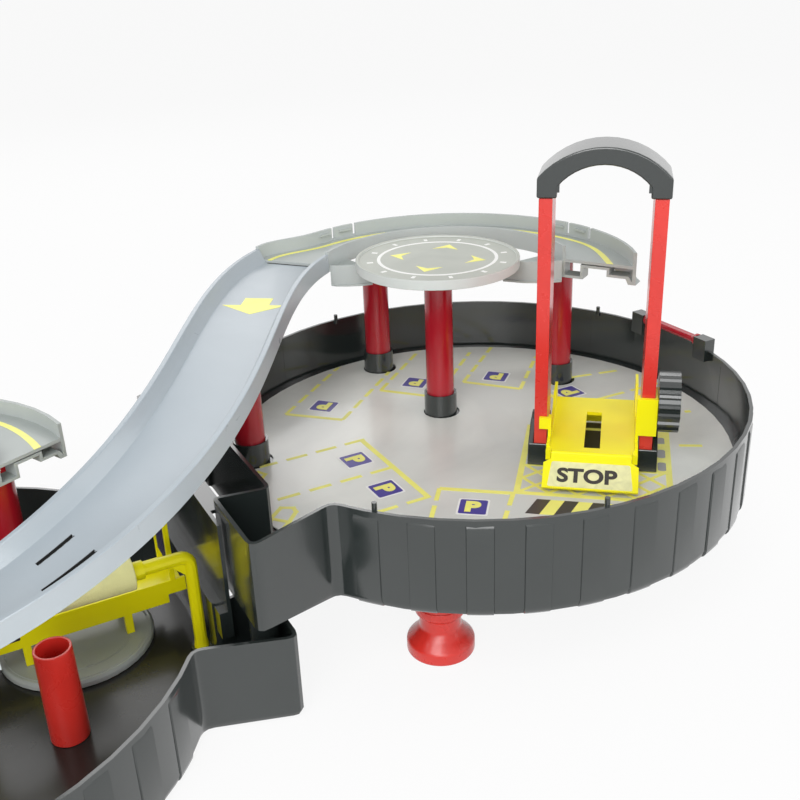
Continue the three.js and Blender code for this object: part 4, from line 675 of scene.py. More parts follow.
def edge_ribbon(inner, outer, insets=(17.0, 10.0), widths=(5.2, 3.4), fade=14):
    """Outlines of a painted line beside a deck's outer edge, further in and wider at the open end."""
    near, far = [], []
    for i, (left, right) in enumerate(zip(inner, outer)):
        share = min(i / fade, 1.0)
        share = share * share * (3.0 - 2.0 * share)
        inset = insets[0] + (insets[1] - insets[0]) * share
        width = widths[0] + (widths[1] - widths[0]) * share
        way = (Vector(left) - Vector(right)).normalized()
        near.append(tuple(Vector(right) + way * inset))
        far.append(tuple(Vector(right) + way * (inset + width)))
    return [[near[i], near[i + 1], far[i + 1], far[i]] for i in range(len(near) - 1)]


# Settings

def colour_setting(label, words, *value):
    """A colour that a user can change."""
    return FloatVectorProperty(name=label, description=words, subtype="COLOR", size=3, min=0.0, max=1.0,
                               default=value)


class GarageColours(bpy.types.PropertyGroup):
    """Colours of the garage's plastics and prints."""
    black: colour_setting("Black plastic", "Trays, collars, sockets, arch and wheel", 0.021, 0.027, 0.026)
    sheet: colour_setting("Raised floor sheet", "Printed sheet of the raised tray", 0.86, 0.875, 0.82)
    lower_sheet: colour_setting("Lower floor sheet", "Printed sheet of the lower tray", 0.016, 0.016, 0.014)
    deck: colour_setting("Deck", "Ring decks and turntable", 0.36, 0.395, 0.38)
    ramp: colour_setting("Ramp", "Curved ramp", 0.34, 0.39, 0.43)
    pad: colour_setting("Helipad", "Round landing pad", 0.42, 0.44, 0.39)
    column_red: colour_setting("Column red", "Columns and carry handles", 0.44, 0.010, 0.022)
    post_red: colour_setting("Post red", "Lift posts, legs and tube", 0.72, 0.035, 0.025)
    yellow: colour_setting("Yellow plastic", "Lift platform, flap and car wash", 0.99, 0.91, 0.004)
    roller_yellow: colour_setting("Roller yellow", "Foam roller of the car wash", 0.95, 0.92, 0.42)
    navy: colour_setting("Navy strips", "Hanging strips of the wash gate", 0.02, 0.02, 0.11)
    line_yellow: colour_setting("Line yellow", "Bay lines and border of the lift", 0.92, 0.89, 0.20)
    sign_navy: colour_setting("Sign navy", "Ground of the parking signs", 0.045, 0.03, 0.28)
    ink_white: colour_setting("White ink", "Sign borders and ring of the helipad", 0.85, 0.85, 0.83)
    # Dark ink is also the painted shade on the sheet under the lift's platform
    dark_ink_and_shade: colour_setting("Dark ink", "Letters and hazard stripes", 0.035, 0.030, 0.025)
    panel_pale: colour_setting("Pale panel", "Panel behind the word on the flap", 0.88, 0.87, 0.45)
    cell_grey: colour_setting("Grey cells", "Cells beside the lift", 0.33, 0.33, 0.32)
    # Painted shade: colour of the dark strips in the ramp's slots and of the shadow slab at its seam
    shade_dark: colour_setting("Dark gap", "Shadow lines and hollow places", 0.01, 0.01, 0.01)


class GarageSizes(bpy.types.PropertyGroup):
    """Sizes of the garage's small features."""
    ink_thickness: FloatProperty(name="Ink thickness", description="Height of one print layer in millimetres",
                                 default=0.12, min=0.02, max=0.5)
    bay_line: FloatProperty(name="Bay line", description="Width of the parking lines in millimetres",
                            default=3.1, min=0.5, max=8.0)
    panel_angle: FloatProperty(name="Wall panel angle", description="Angle of one wall panel in degrees",
                               default=5.0, min=2.0, max=15.0)
    panel_proud: FloatProperty(name="Wall panel rise", description="Rise of a wall panel in millimetres",
                               default=0.6, min=0.1, max=1.5)
    sign_width: FloatProperty(name="Sign width", description="Width of a parking sign in millimetres",
                              default=20.5, min=5.0, max=40.0)
    ramp_steps: IntProperty(name="Ramp steps", description="Number of cross sections along the ramp",
                            default=90, min=20, max=200)


# Operators

# Wall panels: stops over one panel, how deep their hidden edges sit, and the round under the wall
PANEL_STOPS = (0.0, 0.04, 0.28, 0.5, 0.72, 0.96, 1.0)
PANEL_SUNK = 0.7
PANEL_BACK = (-1.4, 1.0)
PANEL_HEIGHTS = (TRAY_DEPTH - 2.5, TRAY_DEPTH - 5.5, 20.0)
PANEL_ROUND = ((0.0, UNDER_ROUND), (-0.5, 4.2), (-1.8, 2.1), (-3.8, 0.7), (-6.0, 0.0))
PANEL_CLEAR = 4.0
RIB_OUTLINE = ((1.0, -0.6), (1.0, 0.6), (-0.15, 0.35), (-0.15, -0.35))
RIB_HEIGHTS = (19.6, TRAY_DEPTH - 5.0)


class GARAGE_OT_trays(bpy.types.Operator):
    """Build both trays with their wall panels and inside ribs."""
    bl_idname = "garage.trays"
    bl_label = "Trays"

    def execute(self, context):
        sizes = context.scene.garage_sizes
        for node, turn, centre, rise, belly in (
                ("upper_tray", 0.0, TRAY_X, RAISED_BY, RAISED_BELLY),
                ("lower_tray", math.pi, -TRAY_X, 0.0, 0.0)):
            rounded_node(node, "black", 0.5)
            place = place_of(centre, 0.0, rise, turn)
            for name, parts in (("_panels", self.panels(sizes, belly)), ("_ribs", self.ribs(sizes))):
                relief = gathered([moved(part, place) for part in parts])
                add_shape(node + name, relief, "black", "frame", sharp=SHARP_TRIM)
        return {"FINISHED"}

    @staticmethod
    def angles(sizes):
        """Start angles of the wall panels round the open arc of the rim."""
        clear = math.degrees(math.asin(JUNCTION_HALF / RIM_RADIUS)) + PANEL_CLEAR
        count = int((360.0 - 2 * clear) / sizes.panel_angle)
        return [-180.0 + clear + sizes.panel_angle * i for i in range(count)]

    def panels(self, sizes, belly):
        """Every second panel of the outside wall, thin and curved over the lower edge."""
        profile = [(0.0, z) for z in PANEL_HEIGHTS] + [(inset, z - belly) for inset, z in PANEL_ROUND]
        back, lift = PANEL_BACK
        parts = []
        for start in self.angles(sizes)[::2]:
            rows = []
            for stop in PANEL_STOPS:
                angle = math.radians(start + sizes.panel_angle * stop)
                proud = sizes.panel_proud if 0.0 < stop < 1.0 else -PANEL_SUNK
                row = [(RIM_RADIUS + inset + (proud if k else -PANEL_SUNK), z)
                       for k, (inset, z) in enumerate(profile)]
                row += [(RIM_RADIUS + inset + back, z + lift) for inset, z in reversed(profile)]
                rows.append([(r * math.cos(angle), r * math.sin(angle), z) for r, z in row])
            parts.append(lofted(rows))
        return parts

    def ribs(self, sizes):
        """Low upright ribs on the inside of the wall."""
        outline = [(RIM_RADIUS - WALL + x, y) for x, y in RIB_OUTLINE]
        return [moved(extruded(outline, *RIB_HEIGHTS), Matrix.Rotation(math.radians(start), 4, "Z"))
                for start in self.angles(sizes)]


# Parking bays of the raised sheet: a solid bar, then the dashed lines that go with it
BAYS = (
    (((100.3, 112.4), (133.8, 78.6)), ((100.3, 112.4), (176.8, 178.6)), ((133.8, 78.6), (208.6, 144.4))),
    (((184.6, 113.4), (215.8, 77.5)), ((184.6, 113.4), (258.0, 177.2)), ((215.8, 77.5), (290.4, 145.3))),
    (((250.8, 91.3), (281.9, 53.6)), ((250.8, 91.3), (315.6, 147.4)), ((281.9, 53.6), (333.3, 104.8))),
    (((130.5, 39.0), (130.5, -62.0)), ((132.8, 39.0), (50.4, 39.0)), ((129.0, -11.0), (38.0, -11.0)),
     ((130.7, -60.5), (60.0, -60.5))),
    (((294.0, 48.0), (296.0, 2.0)), ((294.0, 48.0), (333.0, 50.1)), ((333.0, 50.1), (378.0, 40.0)),
     ((296.0, 3.5), (331.0, 3.5)), ((331.0, 3.5), (382.0, 2.0))),
    (((142.6, -54.7), (180.5, -86.1)), ((142.6, -54.7), (96.0, -114.0)), ((180.5, -86.1), (128.0, -142.0)),
     ((318.0, -36.0), (366.0, -52.0)), ((300.0, -78.0), (338.0, -104.0))),
)
BAR_SHARE = 1.25

# Small figures at the left of the sheet: two joined cells, and a single one
CELLS = ((41.9, -22.1), (48.8, -26.4), (48.3, -32.2), (39.5, -41.7), (30.9, -49.5), (26.1, -46.6),
         (28.3, -37.1), (31.0, -31.4))
SINGLE_CELL = ((37.0, 25.0), (46.0, 23.0), (50.0, 27.0), (47.0, 33.0), (38.0, 33.0))
CELL_LINE = 3.0
SINGLE_LINE = 2.6

# Places and turns in degrees of the parking signs, and the size, thickness and weight of their letter
SIGNS = ((132.0, 110.0, 132.0), (216.5, 111.5, 132.0), (279.8, 86.1, 133.0), (311.0, 27.0, 90.0),
         (113.0, 12.8, -90.0), (111.6, -36.0, -90.0), (148.7, -87.2, -38.5))
SIGN_EDGE = 1.3
SIGN_CORNER = 1.4
SIGN_LETTER = (10.2, 13.6, 0.35, 0.06)
LETTER_LIFT = 0.32

# Border round the lift, in the lift's own place
BORDER_LEFT, BORDER_RIGHT, BORDER_FRONT, BORDER_BACK = -47.0, 51.8, -48.0, 54.0
BORDER_EDGE = 4.2
LATTICE_PITCH = 18.7
LATTICE_LINE = 2.6
LATTICE_END = 2.2
STRIP_LEFT = 43.2
STRIP_CELL = (44.6, 3.0, 50.2, 15.5)
STRIP_PITCH = 19.4
CELL_CORNER = 2.0
# Painted shade: a dark rectangle on the sheet under the platform, seen through its slot
PIT_PAINTED_SHADE = (-15.0, 18.0, 15.0, 65.0)
HAZARD = ((0.0, -74.0), (9.0, -74.0), (15.0, -55.0), (6.0, -55.0))
HAZARD_LEFT = -39.0
HAZARD_PITCH = 9.0


class GARAGE_OT_floor_sheets(bpy.types.Operator):
    """Finish both floor sheets and print the raised one."""
    bl_idname = "garage.floor_sheets"
    bl_label = "Floor sheets"

    def execute(self, context):
        sizes = context.scene.garage_sizes
        rounded_node("upper_floor_sheet", "sheet", 0.25)
        rounded_node("lower_floor_sheet", "lower_sheet", 0.25)
        outlines = []
        for bar, *sides in BAYS:
            outlines.append(stroke(*bar, sizes.bay_line * BAR_SHARE))
            for start, end in sides:
                outlines += dashes(start, end, sizes.bay_line)
        sheet_print("parking_lines", outlines, "line_yellow")
        outlines = chain(CELLS + CELLS[:1], CELL_LINE) + chain(SINGLE_CELL + SINGLE_CELL[:1], SINGLE_LINE)
        outlines += chain((CELLS[-1], CELLS[3]), CELL_LINE)
        sheet_print("loop_figures", outlines, "line_yellow")
        self.signs(sizes)
        self.lift_border()
        return {"FINISHED"}

    @staticmethod
    def signs(sizes):
        """Parking signs: a white edge, a navy square and a pale letter."""
        half = sizes.sign_width / 2
        edges, grounds = [], []
        work = bmesh.new()
        for x, y, degrees in SIGNS:
            turn = math.radians(degrees)
            for reach, target in ((half, edges), (half - SIGN_EDGE, grounds)):
                square = eased(rectangle(-reach, -reach, reach, reach), SIGN_CORNER, 4)
                target.append(laid(square, place_of(x, y, 0.0, turn)))
            letter = word_mesh("sign_letter", "P", *SIGN_LETTER)
            letter.transform(in_metres(place_of(x, y, UPPER_SHEET + LETTER_LIFT, turn)))
            work.from_mesh(letter)
        sheet_print("sign_edges", edges, "ink_white")
        sheet_print("sign_grounds", grounds, "sign_navy", 2)
        mesh = bpy.data.meshes.new("sign_letters")
        work.to_mesh(mesh)
        work.free()
        add_piece("sign_letters", mesh, "line_yellow", "frame", sharp=SHARP_PRINT)

    @staticmethod
    def lift_border():
        """Printed border, cross-hatching, cells and hazard stripe round the lift, and painted shade under the
        platform's slot.
        """
        place = lift_place()
        left, right, front, back = BORDER_LEFT, BORDER_RIGHT, BORDER_FRONT, BORDER_BACK
        lines = chain([(left, back), (left, front), (right, front), (right, back), (left, back)], BORDER_EDGE)
        low = front + BORDER_EDGE / 2
        for row in range(2):
            for column in range(5):
                x, y = left + BORDER_EDGE / 2 + column * LATTICE_PITCH, low + row * LATTICE_PITCH
                far, high = x + LATTICE_PITCH, y + LATTICE_PITCH
                lines.append(stroke((x, y), (far, high), LATTICE_LINE))
                lines.append(stroke((x, high), (far, y), LATTICE_LINE))
        top = low + 2 * LATTICE_PITCH
        lines.append(stroke((left, top), (right, top), LATTICE_END))
        lines.append(rectangle(STRIP_LEFT, top, right, back))
        sheet_print("lift_border", [laid(line, place) for line in lines], "line_yellow")
        near, low, far, high = STRIP_CELL
        steps = [top + i * STRIP_PITCH for i in range(3)]
        cells = [eased(rectangle(near, step + low, far, step + high), CELL_CORNER) for step in steps]
        sheet_print("lift_cells", [laid(cell, place) for cell in cells], "cell_grey", 2)
        # The dark rectangle under the platform is painted shade; the dark stripes are print
        dark, bright = [laid(rectangle(*PIT_PAINTED_SHADE), place)], []
        for i in range(7):
            stripe = [(x + HAZARD_LEFT + i * HAZARD_PITCH, y) for x, y in HAZARD]
            (bright if i % 2 else dark).append(laid(stripe, place))
        sheet_print("hazard_dark_and_pit_shade", dark, "dark_ink_and_shade")
        sheet_print("hazard_bright", bright, "line_yellow")


# Radius and height along a leg, from its foot to its cup, then the radii of the columns and the tube
LEG_OUTLINE = ((0.0, 0.0), (22.2, 0.0), (22.2, 8.0), (17.0, 13.5), (13.5, 18.0), (13.5, 27.0), (16.4, 29.0),
               (16.4, 35.0), (15.6, 35.0), (15.6, 42.0), (13.2, 42.0), (13.2, 29.0), (0.0, 29.0))
LEG_CORNER = 1.4
COLUMN_RADII = (8.4, 10.75, 10.35, 8.4)
COLUMN_CORNER = 0.6
TUBE_RADII = (9.4, 11.0, 10.4, 8.8)
TUBE_CORNER = 0.5
LEGS = ("leg_front", "leg_back", "leg_far")
COLUMNS = ("ramp_column", "deck_back_column", "helipad_column", "deck_right_column", "lower_back_column",
           "lower_left_column", "lower_right_column", "lower_front_column")


class GARAGE_OT_supports(bpy.types.Operator):
    """Build the legs, the columns, the carry handles and the red tube."""
    bl_idname = "garage.supports"
    bl_label = "Legs, columns and handles"

    def execute(self, context):
        leg = eased(LEG_OUTLINE, LEG_CORNER, 4)
        for node in LEGS:
            self.stood(node, "post_red", leg, 72)
        for node in COLUMNS:
            self.stood(node, "column_red", self.pipe(node, COLUMN_RADII, COLUMN_CORNER))
        for node in ("upper_handle", "lower_handle"):
            rounded_node(node, "column_red", 0.4)
        self.stood("red_tube", "post_red", self.pipe("red_tube", TUBE_RADII, TUBE_CORNER))
        return {"FINISHED"}

    @staticmethod
    def pipe(node, radii, corner):
        """Outline of a pipe as tall as a solid, from its radii at the foot and at the top."""
        low, high = (spot[2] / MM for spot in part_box(node))
        return eased(list(zip(radii, (low, low, high, high))), corner)

    @staticmethod
    def stood(node, finish, outline, steps=64):
        """A turned piece on the axis of the upright solid that it stands for."""
        low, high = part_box(node)
        place = place_of((low[0] + high[0]) / 2 / MM, (low[1] + high[1]) / 2 / MM, 0.0)
        add_shape("dressed_" + node, moved(turned(outline, steps), place), finish, "frame", (node,),
                  SHARP_TURNED)


# Slits and ledges of a deck's wall: radii from the outer edge, angles in degrees, heights above the road
SLIT_RADII = (DECK_OUTER - 4.0, DECK_OUTER + 2.0)
SLIT_HALF = 0.6
SLIT_HEIGHTS = (1.2, 12.0)
LEDGE_RADII = (DECK_OUTER - 4.2, DECK_OUTER - 1.5)
LEDGE_ANGLES = (1.6, 6.4)
LEDGE_HEIGHTS = (5.6, 7.2)


class GARAGE_OT_decks(bpy.types.Operator):
    """Build both ring decks with their slits, ledges and road lines."""
    bl_idname = "garage.decks"
    bl_label = "Decks"

    def execute(self, context):
        for node, centre, road, places in (
                ("upper_deck", DECK_CENTRE, UPPER_ROAD, (104.0, 95.0, 13.0, 3.0)),
                ("lower_deck", LOWER_DECK_CENTRE, LOWER_ROAD, (84.0, 95.0, 167.0, 177.0))):
            low, high = SLIT_HEIGHTS
            slits = [extruded(band(centre, *SLIT_RADII, place - SLIT_HALF, place + SLIT_HALF, 2),
                              road + low, road + high) for place in places]
            mesh = rounded(pierced(node_mesh(node), gathered(slits)), 0.45)
            add_piece("dressed_" + node, mesh, "deck", "frame", (node,))
            low, high = LEDGE_HEIGHTS
            near, far = LEDGE_ANGLES
            ledges = [extruded(band(centre, *LEDGE_RADII, place + near, place + far, 6),
                               road + low, road + high) for place in places]
            add_shape(node + "_ledges", gathered(ledges), "deck", "frame", sharp=SHARP_TRIM)
        for name, sides, road in (("upper_road_line", upper_deck_sides(), UPPER_ROAD),
                                  ("lower_road_line", lower_deck_sides(), LOWER_ROAD)):
            printed(name, edge_ribbon(*sides), road, "line_yellow", "frame")
        return {"FINISHED"}


# Printed ring, ticks and arrowheads of the pad, from its centre
RING_RADII = (41.8, 44.3)
TICK_RADII = (47.5, 52.0)
TICK_ANGLES = (9.0, 12.0)
HEAD_TIP, HEAD_WING, HEAD_NOTCH, HEAD_HALF = 36.0, 25.0, 27.5, 0.40
RING_STEP = 30.0


class GARAGE_OT_helipad(bpy.types.Operator):
    """Build the landing pad and its printed ring."""
    bl_idname = "garage.helipad"
    bl_label = "Helipad"

    def execute(self, context):
        rounded_node("helipad", "pad", 0.5)
        starts = [i * RING_STEP for i in range(12)]
        near, far = TICK_ANGLES
        ring = [band(PAD_CENTRE, *RING_RADII, start, start + RING_STEP, 8) for start in starts]
        ticks = [band(PAD_CENTRE, *TICK_RADII, start + near, start + far, 3) for start in starts]
        printed("pad_ring", ring + ticks, PAD_TOP, "ink_white", "frame")
        heads = []
        for i in range(4):
            angle = math.radians(45.0 + i * 90.0)
            heads.append([polar(PAD_CENTRE, reach, angle + turn)
                          for reach, turn in ((HEAD_TIP, 0.0), (HEAD_WING, HEAD_HALF),
                                              (HEAD_NOTCH, 0.0), (HEAD_WING, -HEAD_HALF))])
        printed("pad_arrowheads", heads, PAD_TOP, "line_yellow", "frame")
        return {"FINISHED"}


# Half of the ramp's cross section from the wall's outside to the road: distance in and drop
RAMP_UNDER = RAMP_WALL_RISE + RAMP_FLOOR
RAMP_HALF = ((0.0, 0.4), (0.4, 0.0), (3.1, 0.0), (3.6, 0.4), (6.0, 5.8), (6.6, 6.6), (8.4, 9.4), (9.8, 10.0))
RAMP_LOW = ((9.0, RAMP_UNDER), (2.2, RAMP_SKIRT), (0.0, RAMP_SKIRT))

# Slots of the ramp: distance to the left of its middle, and shares of its run
RAMP_SLOTS = ((-7.5, 0.752, 0.808), (13.7, 0.755, 0.823))
SLOT_HALF = 1.5
SLOT_STEPS = 8
SLOT_CUT = (-6.0, 3.0)
# Painted shade in the slots: spans of the dark strips across a slot, and how far under the road they start
SLOT_SHADE_SPANS = ((-1.55, -0.95), (0.95, 1.55))
SLOT_SHADE_SUNK = 0.05

# Boss with its peg, arrow, and painted shadow along the seam of the ramp
BOSS_RADIUS = 13.0
BOSS_DROP = 8.0
BOSS_SUNK = 1.0
BOSS_CORNER = 0.6
PEG_RADIUS = 8.1
PEG_LENGTH = 10.0
ARROW = ((-13.0, -7.0), (-1.0, -7.0), (-1.0, -20.0), (14.0, 3.0), (-1.0, 26.0), (-1.0, 13.0), (-13.0, 13.0))
ARROW_SHARE = 0.168
ARROW_LIFTS = (-0.3, 0.15)
SEAM_HALF = 21.0
SEAM_SHARES = (0.004, 0.0005)
SEAM_LIFT = 0.12
SEAM_DEPTH = 0.5


class GARAGE_OT_ramp(bpy.types.Operator):
    """Build the curved ramp with its creased walls, slots and arrow."""
    bl_idname = "garage.ramp"
    bl_label = "Ramp"

    def execute(self, context):
        steps = context.scene.garage_sizes.ramp_steps
        first, last = RAMP_SHARES
        section = [(side, *spot) for side, row in (("left", RAMP_HALF), ("right", RAMP_HALF[::-1]),
                                                   ("right", RAMP_LOW[::-1]), ("left", RAMP_LOW))
                   for spot in row]
        stations = [ramp_sides(first + (last - first) * i / steps) for i in range(steps + 1)]
        slots, slot_shades = [], []
        below, above = SLOT_CUT
        for side, start, end in RAMP_SLOTS:
            shares = [start + (end - start) * i / SLOT_STEPS for i in range(SLOT_STEPS + 1)]
            heights = [on_ramp(share, side)[2] for share in shares]
            near, far = [[on_ramp(share, side + offset)[:2] for share in shares]
                         for offset in (-SLOT_HALF, SLOT_HALF)]
            slots.append(extruded(near + far[::-1], min(heights) + below, max(heights) + above))
            slot_shades += self.slot_sides(side, shares)
        mesh = pierced(mesh_of("ramp", road_part(stations, section)), gathered(slots))
        add_piece("dressed_ramp", mesh, "ramp", "frame", ("ramp",), SHARP_ROAD)
        self.boss()
        # Painted shade: dark strips inside the ramp's slots
        add_shape("ramp_slot_shade", gathered(slot_shades), "shade_dark", "frame")
        self.arrow()
        self.seam_shade()
        return {"FINISHED"}

    @staticmethod
    def slot_sides(side, shares):
        """Painted shade: dark strips on the sides inside one slot of the ramp."""
        return [lofted([[on_ramp(share, side + near, -SLOT_SHADE_SUNK), on_ramp(share, side + far, -SLOT_SHADE_SUNK),
                         on_ramp(share, side + far, -RAMP_FLOOR), on_ramp(share, side + near, -RAMP_FLOOR)]
                        for share in shares]) for near, far in SLOT_SHADE_SPANS]

    @staticmethod
    def boss():
        """Round boss and peg under the ramp, on its column."""
        x, y, road = on_ramp(RAMP_BOSS_SHARE, RAMP_BOSS_SIDE)
        top = road - RAMP_FLOOR / 2 - BOSS_SUNK
        foot = ramp_station(RAMP_BOSS_SHARE)[2] - RAMP_UNDER - BOSS_DROP
        low = foot - PEG_LENGTH
        outline = eased([(0.0, low), (PEG_RADIUS, low), (PEG_RADIUS, foot), (BOSS_RADIUS, foot),
                         (BOSS_RADIUS, top), (0.0, top)], BOSS_CORNER)
        add_shape("ramp_boss", moved(turned(outline), place_of(x, y, 0.0)), "ramp", "frame",
                  sharp=SHARP_TURNED)

    @staticmethod
    def arrow():
        """Yellow arrow painted on the road, pointing down the ramp."""
        rows = [[on_ramp(ARROW_SHARE + along / RAMP_LENGTH, side, lift) for along, side in ARROW]
                for lift in ARROW_LIFTS]
        add_shape("ramp_arrow", slab(*rows), "line_yellow", "frame")

    @staticmethod
    def seam_shade():
        """Painted shadow: a dark slab where the ramp hooks on to the upper deck."""
        tops = [on_ramp(RAMP_SHARES[0] + share, side, SEAM_LIFT)
                for share, half in zip(SEAM_SHARES, (SEAM_HALF, -SEAM_HALF)) for side in (-half, half)]
        feet = [(x, y, z - SEAM_DEPTH) for x, y, z in tops]
        add_shape("ramp_seam_shadow", slab(feet, tops), "shade_dark", "frame")


# Small forms of the lift, in its own place, and the print on its flap from the hinge
FIN = (28.9, -5.0, 26.9, -3.6)
FIN_HEIGHTS = (189.0, 196.5)
SKIRT = (-28.0, 66.2, 28.0, 67.7)
SKIRT_HEIGHTS = (1.0, 16.5)
FLAP_PANEL = ((-27.5, -26.0), (27.5, -26.0), (25.5, -7.2), (-25.5, -7.2))
FLAP_WORD = (39.0, 10.8, 0.4, 0.035)
FLAP_WORD_SPOT = (-2.0, -17.2, FLAP_THICK + 0.2)


class GARAGE_OT_lift(bpy.types.Operator):
    """Build the lift: posts, sockets, arch, platform, hand wheel and the lettered flap."""
    bl_idname = "garage.lift"
    bl_label = "Lift"

    def execute(self, context):
        for node, finish, width, segments in (
                ("lift_post_left", "post_red", 0.4, 2), ("lift_post_right", "post_red", 0.3, 2),
                ("lift_socket_left", "black", 0.5, 2), ("lift_socket_right", "black", 0.5, 2),
                ("lift_arch", "black", 1.2, 3), ("lift_platform", "yellow", 0.5, 2),
                ("stop_flap", "yellow", 0.4, 2), ("flap_pin", "yellow", 0.2, 2),
                ("lift_pinion", "black", 0.15, 2), ("lift_wheel", "black", 0.5, 2)):
            rounded_node(node, finish, width, segments)
        near, low, far, high = FIN
        fins = [extruded(rectangle(side * near, low, side * far, high), *FIN_HEIGHTS) for side in (-1.0, 1.0)]
        add_shape("arch_fins", moved(gathered(fins), lift_place()), "black", "frame")
        skirt = extruded(eased(rectangle(*SKIRT), 0.4, 2), *SKIRT_HEIGHTS)
        add_shape("platform_skirt", moved(skirt, lift_place()), "yellow", "platform")
        place = lift_place() @ Matrix.Translation(FLAP_HINGE) @ Matrix.Rotation(FLAP_DROP, 4, "X")
        printed("flap_panel", [eased(FLAP_PANEL, 1.5, 4)], FLAP_THICK, "panel_pale", "flap",
                carry=place)
        word = word_mesh("flap_word", "STOP", *FLAP_WORD)
        word.transform(in_metres(place @ Matrix.Translation(FLAP_WORD_SPOT)))
        add_piece("flap_word", word, "dark_ink_and_shade", "flap", sharp=SHARP_PRINT)
        return {"FINISHED"}


# Print on the wash track's side and the rings on the turntable
PLATE_SPOT = (-47.0, -16.0, 29.5)
PLATE = (-13.5, -4.2, 13.5, 4.2)
DIGITS = (21.0, 5.4, 0.3, 0.02)
DIGITS_LIFT = 0.2
TURNTABLE_TOP = WASH_PLACE[2] + 5.0
RINGS = (43.5, 34.0)
RING_WIDTH = 1.2
RING_RISE = 0.35


class GARAGE_OT_wash(bpy.types.Operator):
    """Build the car wash: turntable, track, gate, strips, pipes and roller."""
    bl_idname = "garage.wash"
    bl_label = "Car wash"

    def execute(self, context):
        for node, finish, width in (
                ("turntable", "deck", 0.4), ("wash_track", "yellow", 0.4), ("wash_gate", "yellow", 0.3),
                ("wash_strips", "navy", 0.15), ("wash_pipe_left", "yellow", 0.3),
                ("wash_pipe_right", "yellow", 0.3), ("wash_roller", "roller_yellow", 0.8)):
            rounded_node(node, finish, width)
        upright = (place_of(*WASH_PLACE) @ Matrix.Translation(PLATE_SPOT)
                   @ Matrix.Rotation(math.pi / 2, 4, "X"))
        printed("track_plate", [eased(rectangle(*PLATE), 1.0, 4)], 0.0, "dark_ink_and_shade", "turntable",
                carry=upright)
        digits = word_mesh("track_digits", "12:01", *DIGITS)
        digits.transform(in_metres(upright @ Matrix.Translation((0.0, 0.0, DIGITS_LIFT))))
        add_piece("track_digits", digits, "panel_pale", "turntable", sharp=SHARP_PRINT)
        rings = [band(WASH_PLACE[:2], radius, radius + RING_WIDTH, i * RING_STEP, (i + 1) * RING_STEP, 8)
                 for radius in RINGS for i in range(12)]
        parts = [extruded(ring, TURNTABLE_TOP - INK_SUNK, TURNTABLE_TOP + RING_RISE) for ring in rings]
        add_shape("turntable_rings", gathered(parts), "deck", "turntable")
        return {"FINISHED"}


# Name, place, size and power of each lamp, in metres and watts, and the camera of the photograph
LAMPS = (("key_lamp", (-1.1, -1.2, 1.9), 1.3, 26.0), ("front_lamp", (-0.75, -1.5, 0.75), 1.1, 12.0),
         ("fill_lamp", (1.6, -0.9, 1.2), 1.2, 9.0), ("back_lamp", (0.3, 1.7, 1.5), 1.4, 11.0))
LAMP_AIM = (0.1, 0.0, 0.1)
CAMERA_SPOT = (-0.1468, -0.5646, 0.4147)
CAMERA_WAY = (0.4178, 0.8119, -0.4077)
CAMERA_LEVEL = (0.8891, -0.4576, 0.0)
CAMERA_ROLL = math.radians(2.315)
WHITE = (1.0, 1.0, 1.0, 1.0)
WORLD_LIGHT = 0.5
FLOOR_GLOW = 0.9
FLOOR_REACH = 60.0


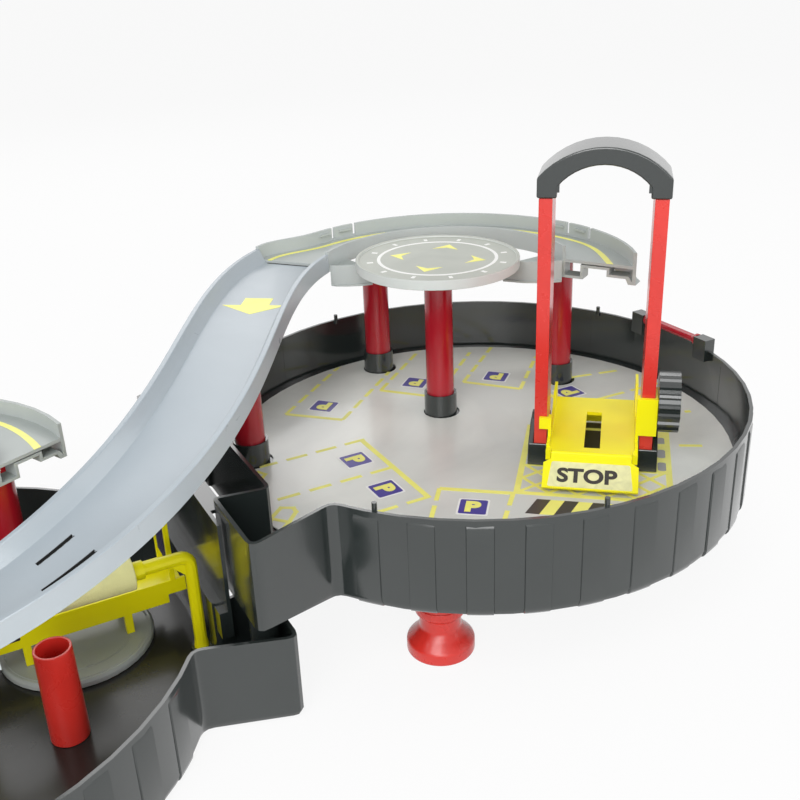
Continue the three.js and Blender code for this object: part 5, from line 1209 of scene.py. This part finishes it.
class GARAGE_OT_stage(bpy.types.Operator):
    """Set the floor, the lamps, the white background and the camera."""
    bl_idname = "garage.stage"
    bl_label = "Stage"

    def execute(self, context):
        scene = context.scene
        scene.view_settings.view_transform = "Standard"
        self.floor(scene)
        self.world(scene)
        for name, spot, size, power in LAMPS:
            data = bpy.data.lights.new(name, "AREA")
            data.shape = "SQUARE"
            data.size = size
            data.energy = power
            lamp = bpy.data.objects.new(name, data)
            lamp.location = spot
            aim = Vector(LAMP_AIM) - Vector(spot)
            lamp.rotation_euler = aim.to_track_quat("-Z", "Y").to_euler()
            scene.collection.objects.link(lamp)
        self.camera(scene)
        return {"FINISHED"}

    @staticmethod
    def camera(scene):
        """Camera at the place and angle of the photograph."""
        way = Vector(CAMERA_WAY).normalized()
        level = Vector(CAMERA_LEVEL).normalized()
        down = way.cross(level)
        right = level * math.cos(CAMERA_ROLL) + down * math.sin(CAMERA_ROLL)
        low = down * math.cos(CAMERA_ROLL) - level * math.sin(CAMERA_ROLL)
        data = bpy.data.cameras.new("camera")
        data.lens = 45.0
        data.sensor_width = 36.0
        data.clip_end = 200.0
        camera = bpy.data.objects.new("camera", data)
        turn = Matrix((right, -low, -way)).transposed().to_4x4()
        camera.matrix_world = Matrix.Translation(CAMERA_SPOT) @ turn
        scene.collection.objects.link(camera)
        scene.camera = camera

    @staticmethod
    def seen_directly(tree):
        """One where the ray comes from the camera, a mirror or clear plastic, else zero."""
        path = tree.nodes.new("ShaderNodeLightPath").outputs
        first = worked(tree, "MAXIMUM", path["Is Camera Ray"], path["Is Glossy Ray"])
        return worked(tree, "MAXIMUM", first, path["Is Transmission Ray"])

    def world(self, scene):
        """Soft even light, and plain white where it is seen directly."""
        scene.world = bpy.data.worlds.new("studio")
        scene.world.use_nodes = True
        tree = scene.world.node_tree
        tree.nodes.clear()
        soft, white = [wire(tree, "ShaderNodeBackground", None, {"Color": WHITE, "Strength": strength})
                       for strength in (WORLD_LIGHT, 1.0)]
        mixed = wire(tree, "ShaderNodeMixShader", None,
                     {0: self.seen_directly(tree), 1: soft.outputs[0], 2: white.outputs[0]})
        end = tree.nodes.new("ShaderNodeOutputWorld")
        tree.links.new(mixed.outputs[0], end.inputs["Surface"])

    def floor(self, scene):
        """White floor that keeps the garage's shadow."""
        material = bpy.data.materials.new("studio_floor")
        material.use_nodes = True
        tree = material.node_tree
        shader = tree.nodes["Principled BSDF"]
        cloud = wire(tree, "ShaderNodeTexNoise", None, {"Scale": 3.0, "Detail": 3.0}).outputs["Fac"]
        tint = blended(tree, cloud, (0.80, 0.80, 0.80, 1.0), (0.84, 0.84, 0.84, 1.0))
        tree.links.new(tint, shader.inputs["Base Color"])
        shader.inputs["Roughness"].default_value = 0.9
        shader.inputs["Specular IOR Level"].default_value = 0.1
        glow = wire(tree, "ShaderNodeEmission", None, {"Color": WHITE, "Strength": 1.0})
        share = worked(tree, "MULTIPLY", self.seen_directly(tree), FLOOR_GLOW)
        mixed = wire(tree, "ShaderNodeMixShader", None, {0: share, 1: shader.outputs[0], 2: glow.outputs[0]})
        tree.links.new(mixed.outputs[0], tree.nodes["Material Output"].inputs["Surface"])
        mesh = bpy.data.meshes.new("studio_floor")
        corners = rectangle(-FLOOR_REACH, -FLOOR_REACH, FLOOR_REACH, FLOOR_REACH)
        mesh.from_pydata([(x, y, 0.0) for x, y in corners], [], [[0, 1, 2, 3]])
        mesh.materials.append(material)
        floor = bpy.data.objects.new("studio_floor", mesh)
        scene.collection.objects.link(floor)


OPERATORS = (GARAGE_OT_trays, GARAGE_OT_floor_sheets, GARAGE_OT_supports, GARAGE_OT_decks, GARAGE_OT_helipad,
             GARAGE_OT_ramp, GARAGE_OT_lift, GARAGE_OT_wash, GARAGE_OT_stage)


class GARAGE_PT_panel(bpy.types.Panel):
    """Sidebar panel with the settings and the pieces of the garage."""
    bl_idname = "GARAGE_PT_panel"
    bl_label = "Toy parking garage"
    bl_space_type = "VIEW_3D"
    bl_region_type = "UI"
    bl_category = "Garage"

    def draw(self, context):
        layout = self.layout
        for settings in (context.scene.garage_sizes, context.scene.garage_colours):
            column = layout.column()
            for key in settings.__annotations__:
                column.prop(settings, key)
        for operator in OPERATORS:
            layout.operator(operator.bl_idname)


CLASSES = (GarageColours, GarageSizes, *OPERATORS, GARAGE_PT_panel)


def register():
    """Make the settings, the operators and the panel known."""
    for kind in CLASSES:
        bpy.utils.register_class(kind)
    bpy.types.Scene.garage_colours = PointerProperty(type=GarageColours)
    bpy.types.Scene.garage_sizes = PointerProperty(type=GarageSizes)


def unregister():
    """Take away what register made known."""
    del bpy.types.Scene.garage_sizes
    del bpy.types.Scene.garage_colours
    for kind in reversed(CLASSES):
        bpy.utils.unregister_class(kind)


def main():
    """Build the whole garage and its stage."""
    register()
    for operator in OPERATORS:
        group, name = operator.bl_idname.split(".")
        getattr(getattr(bpy.ops, group), name)()


if __name__ == "__main__":
    main()
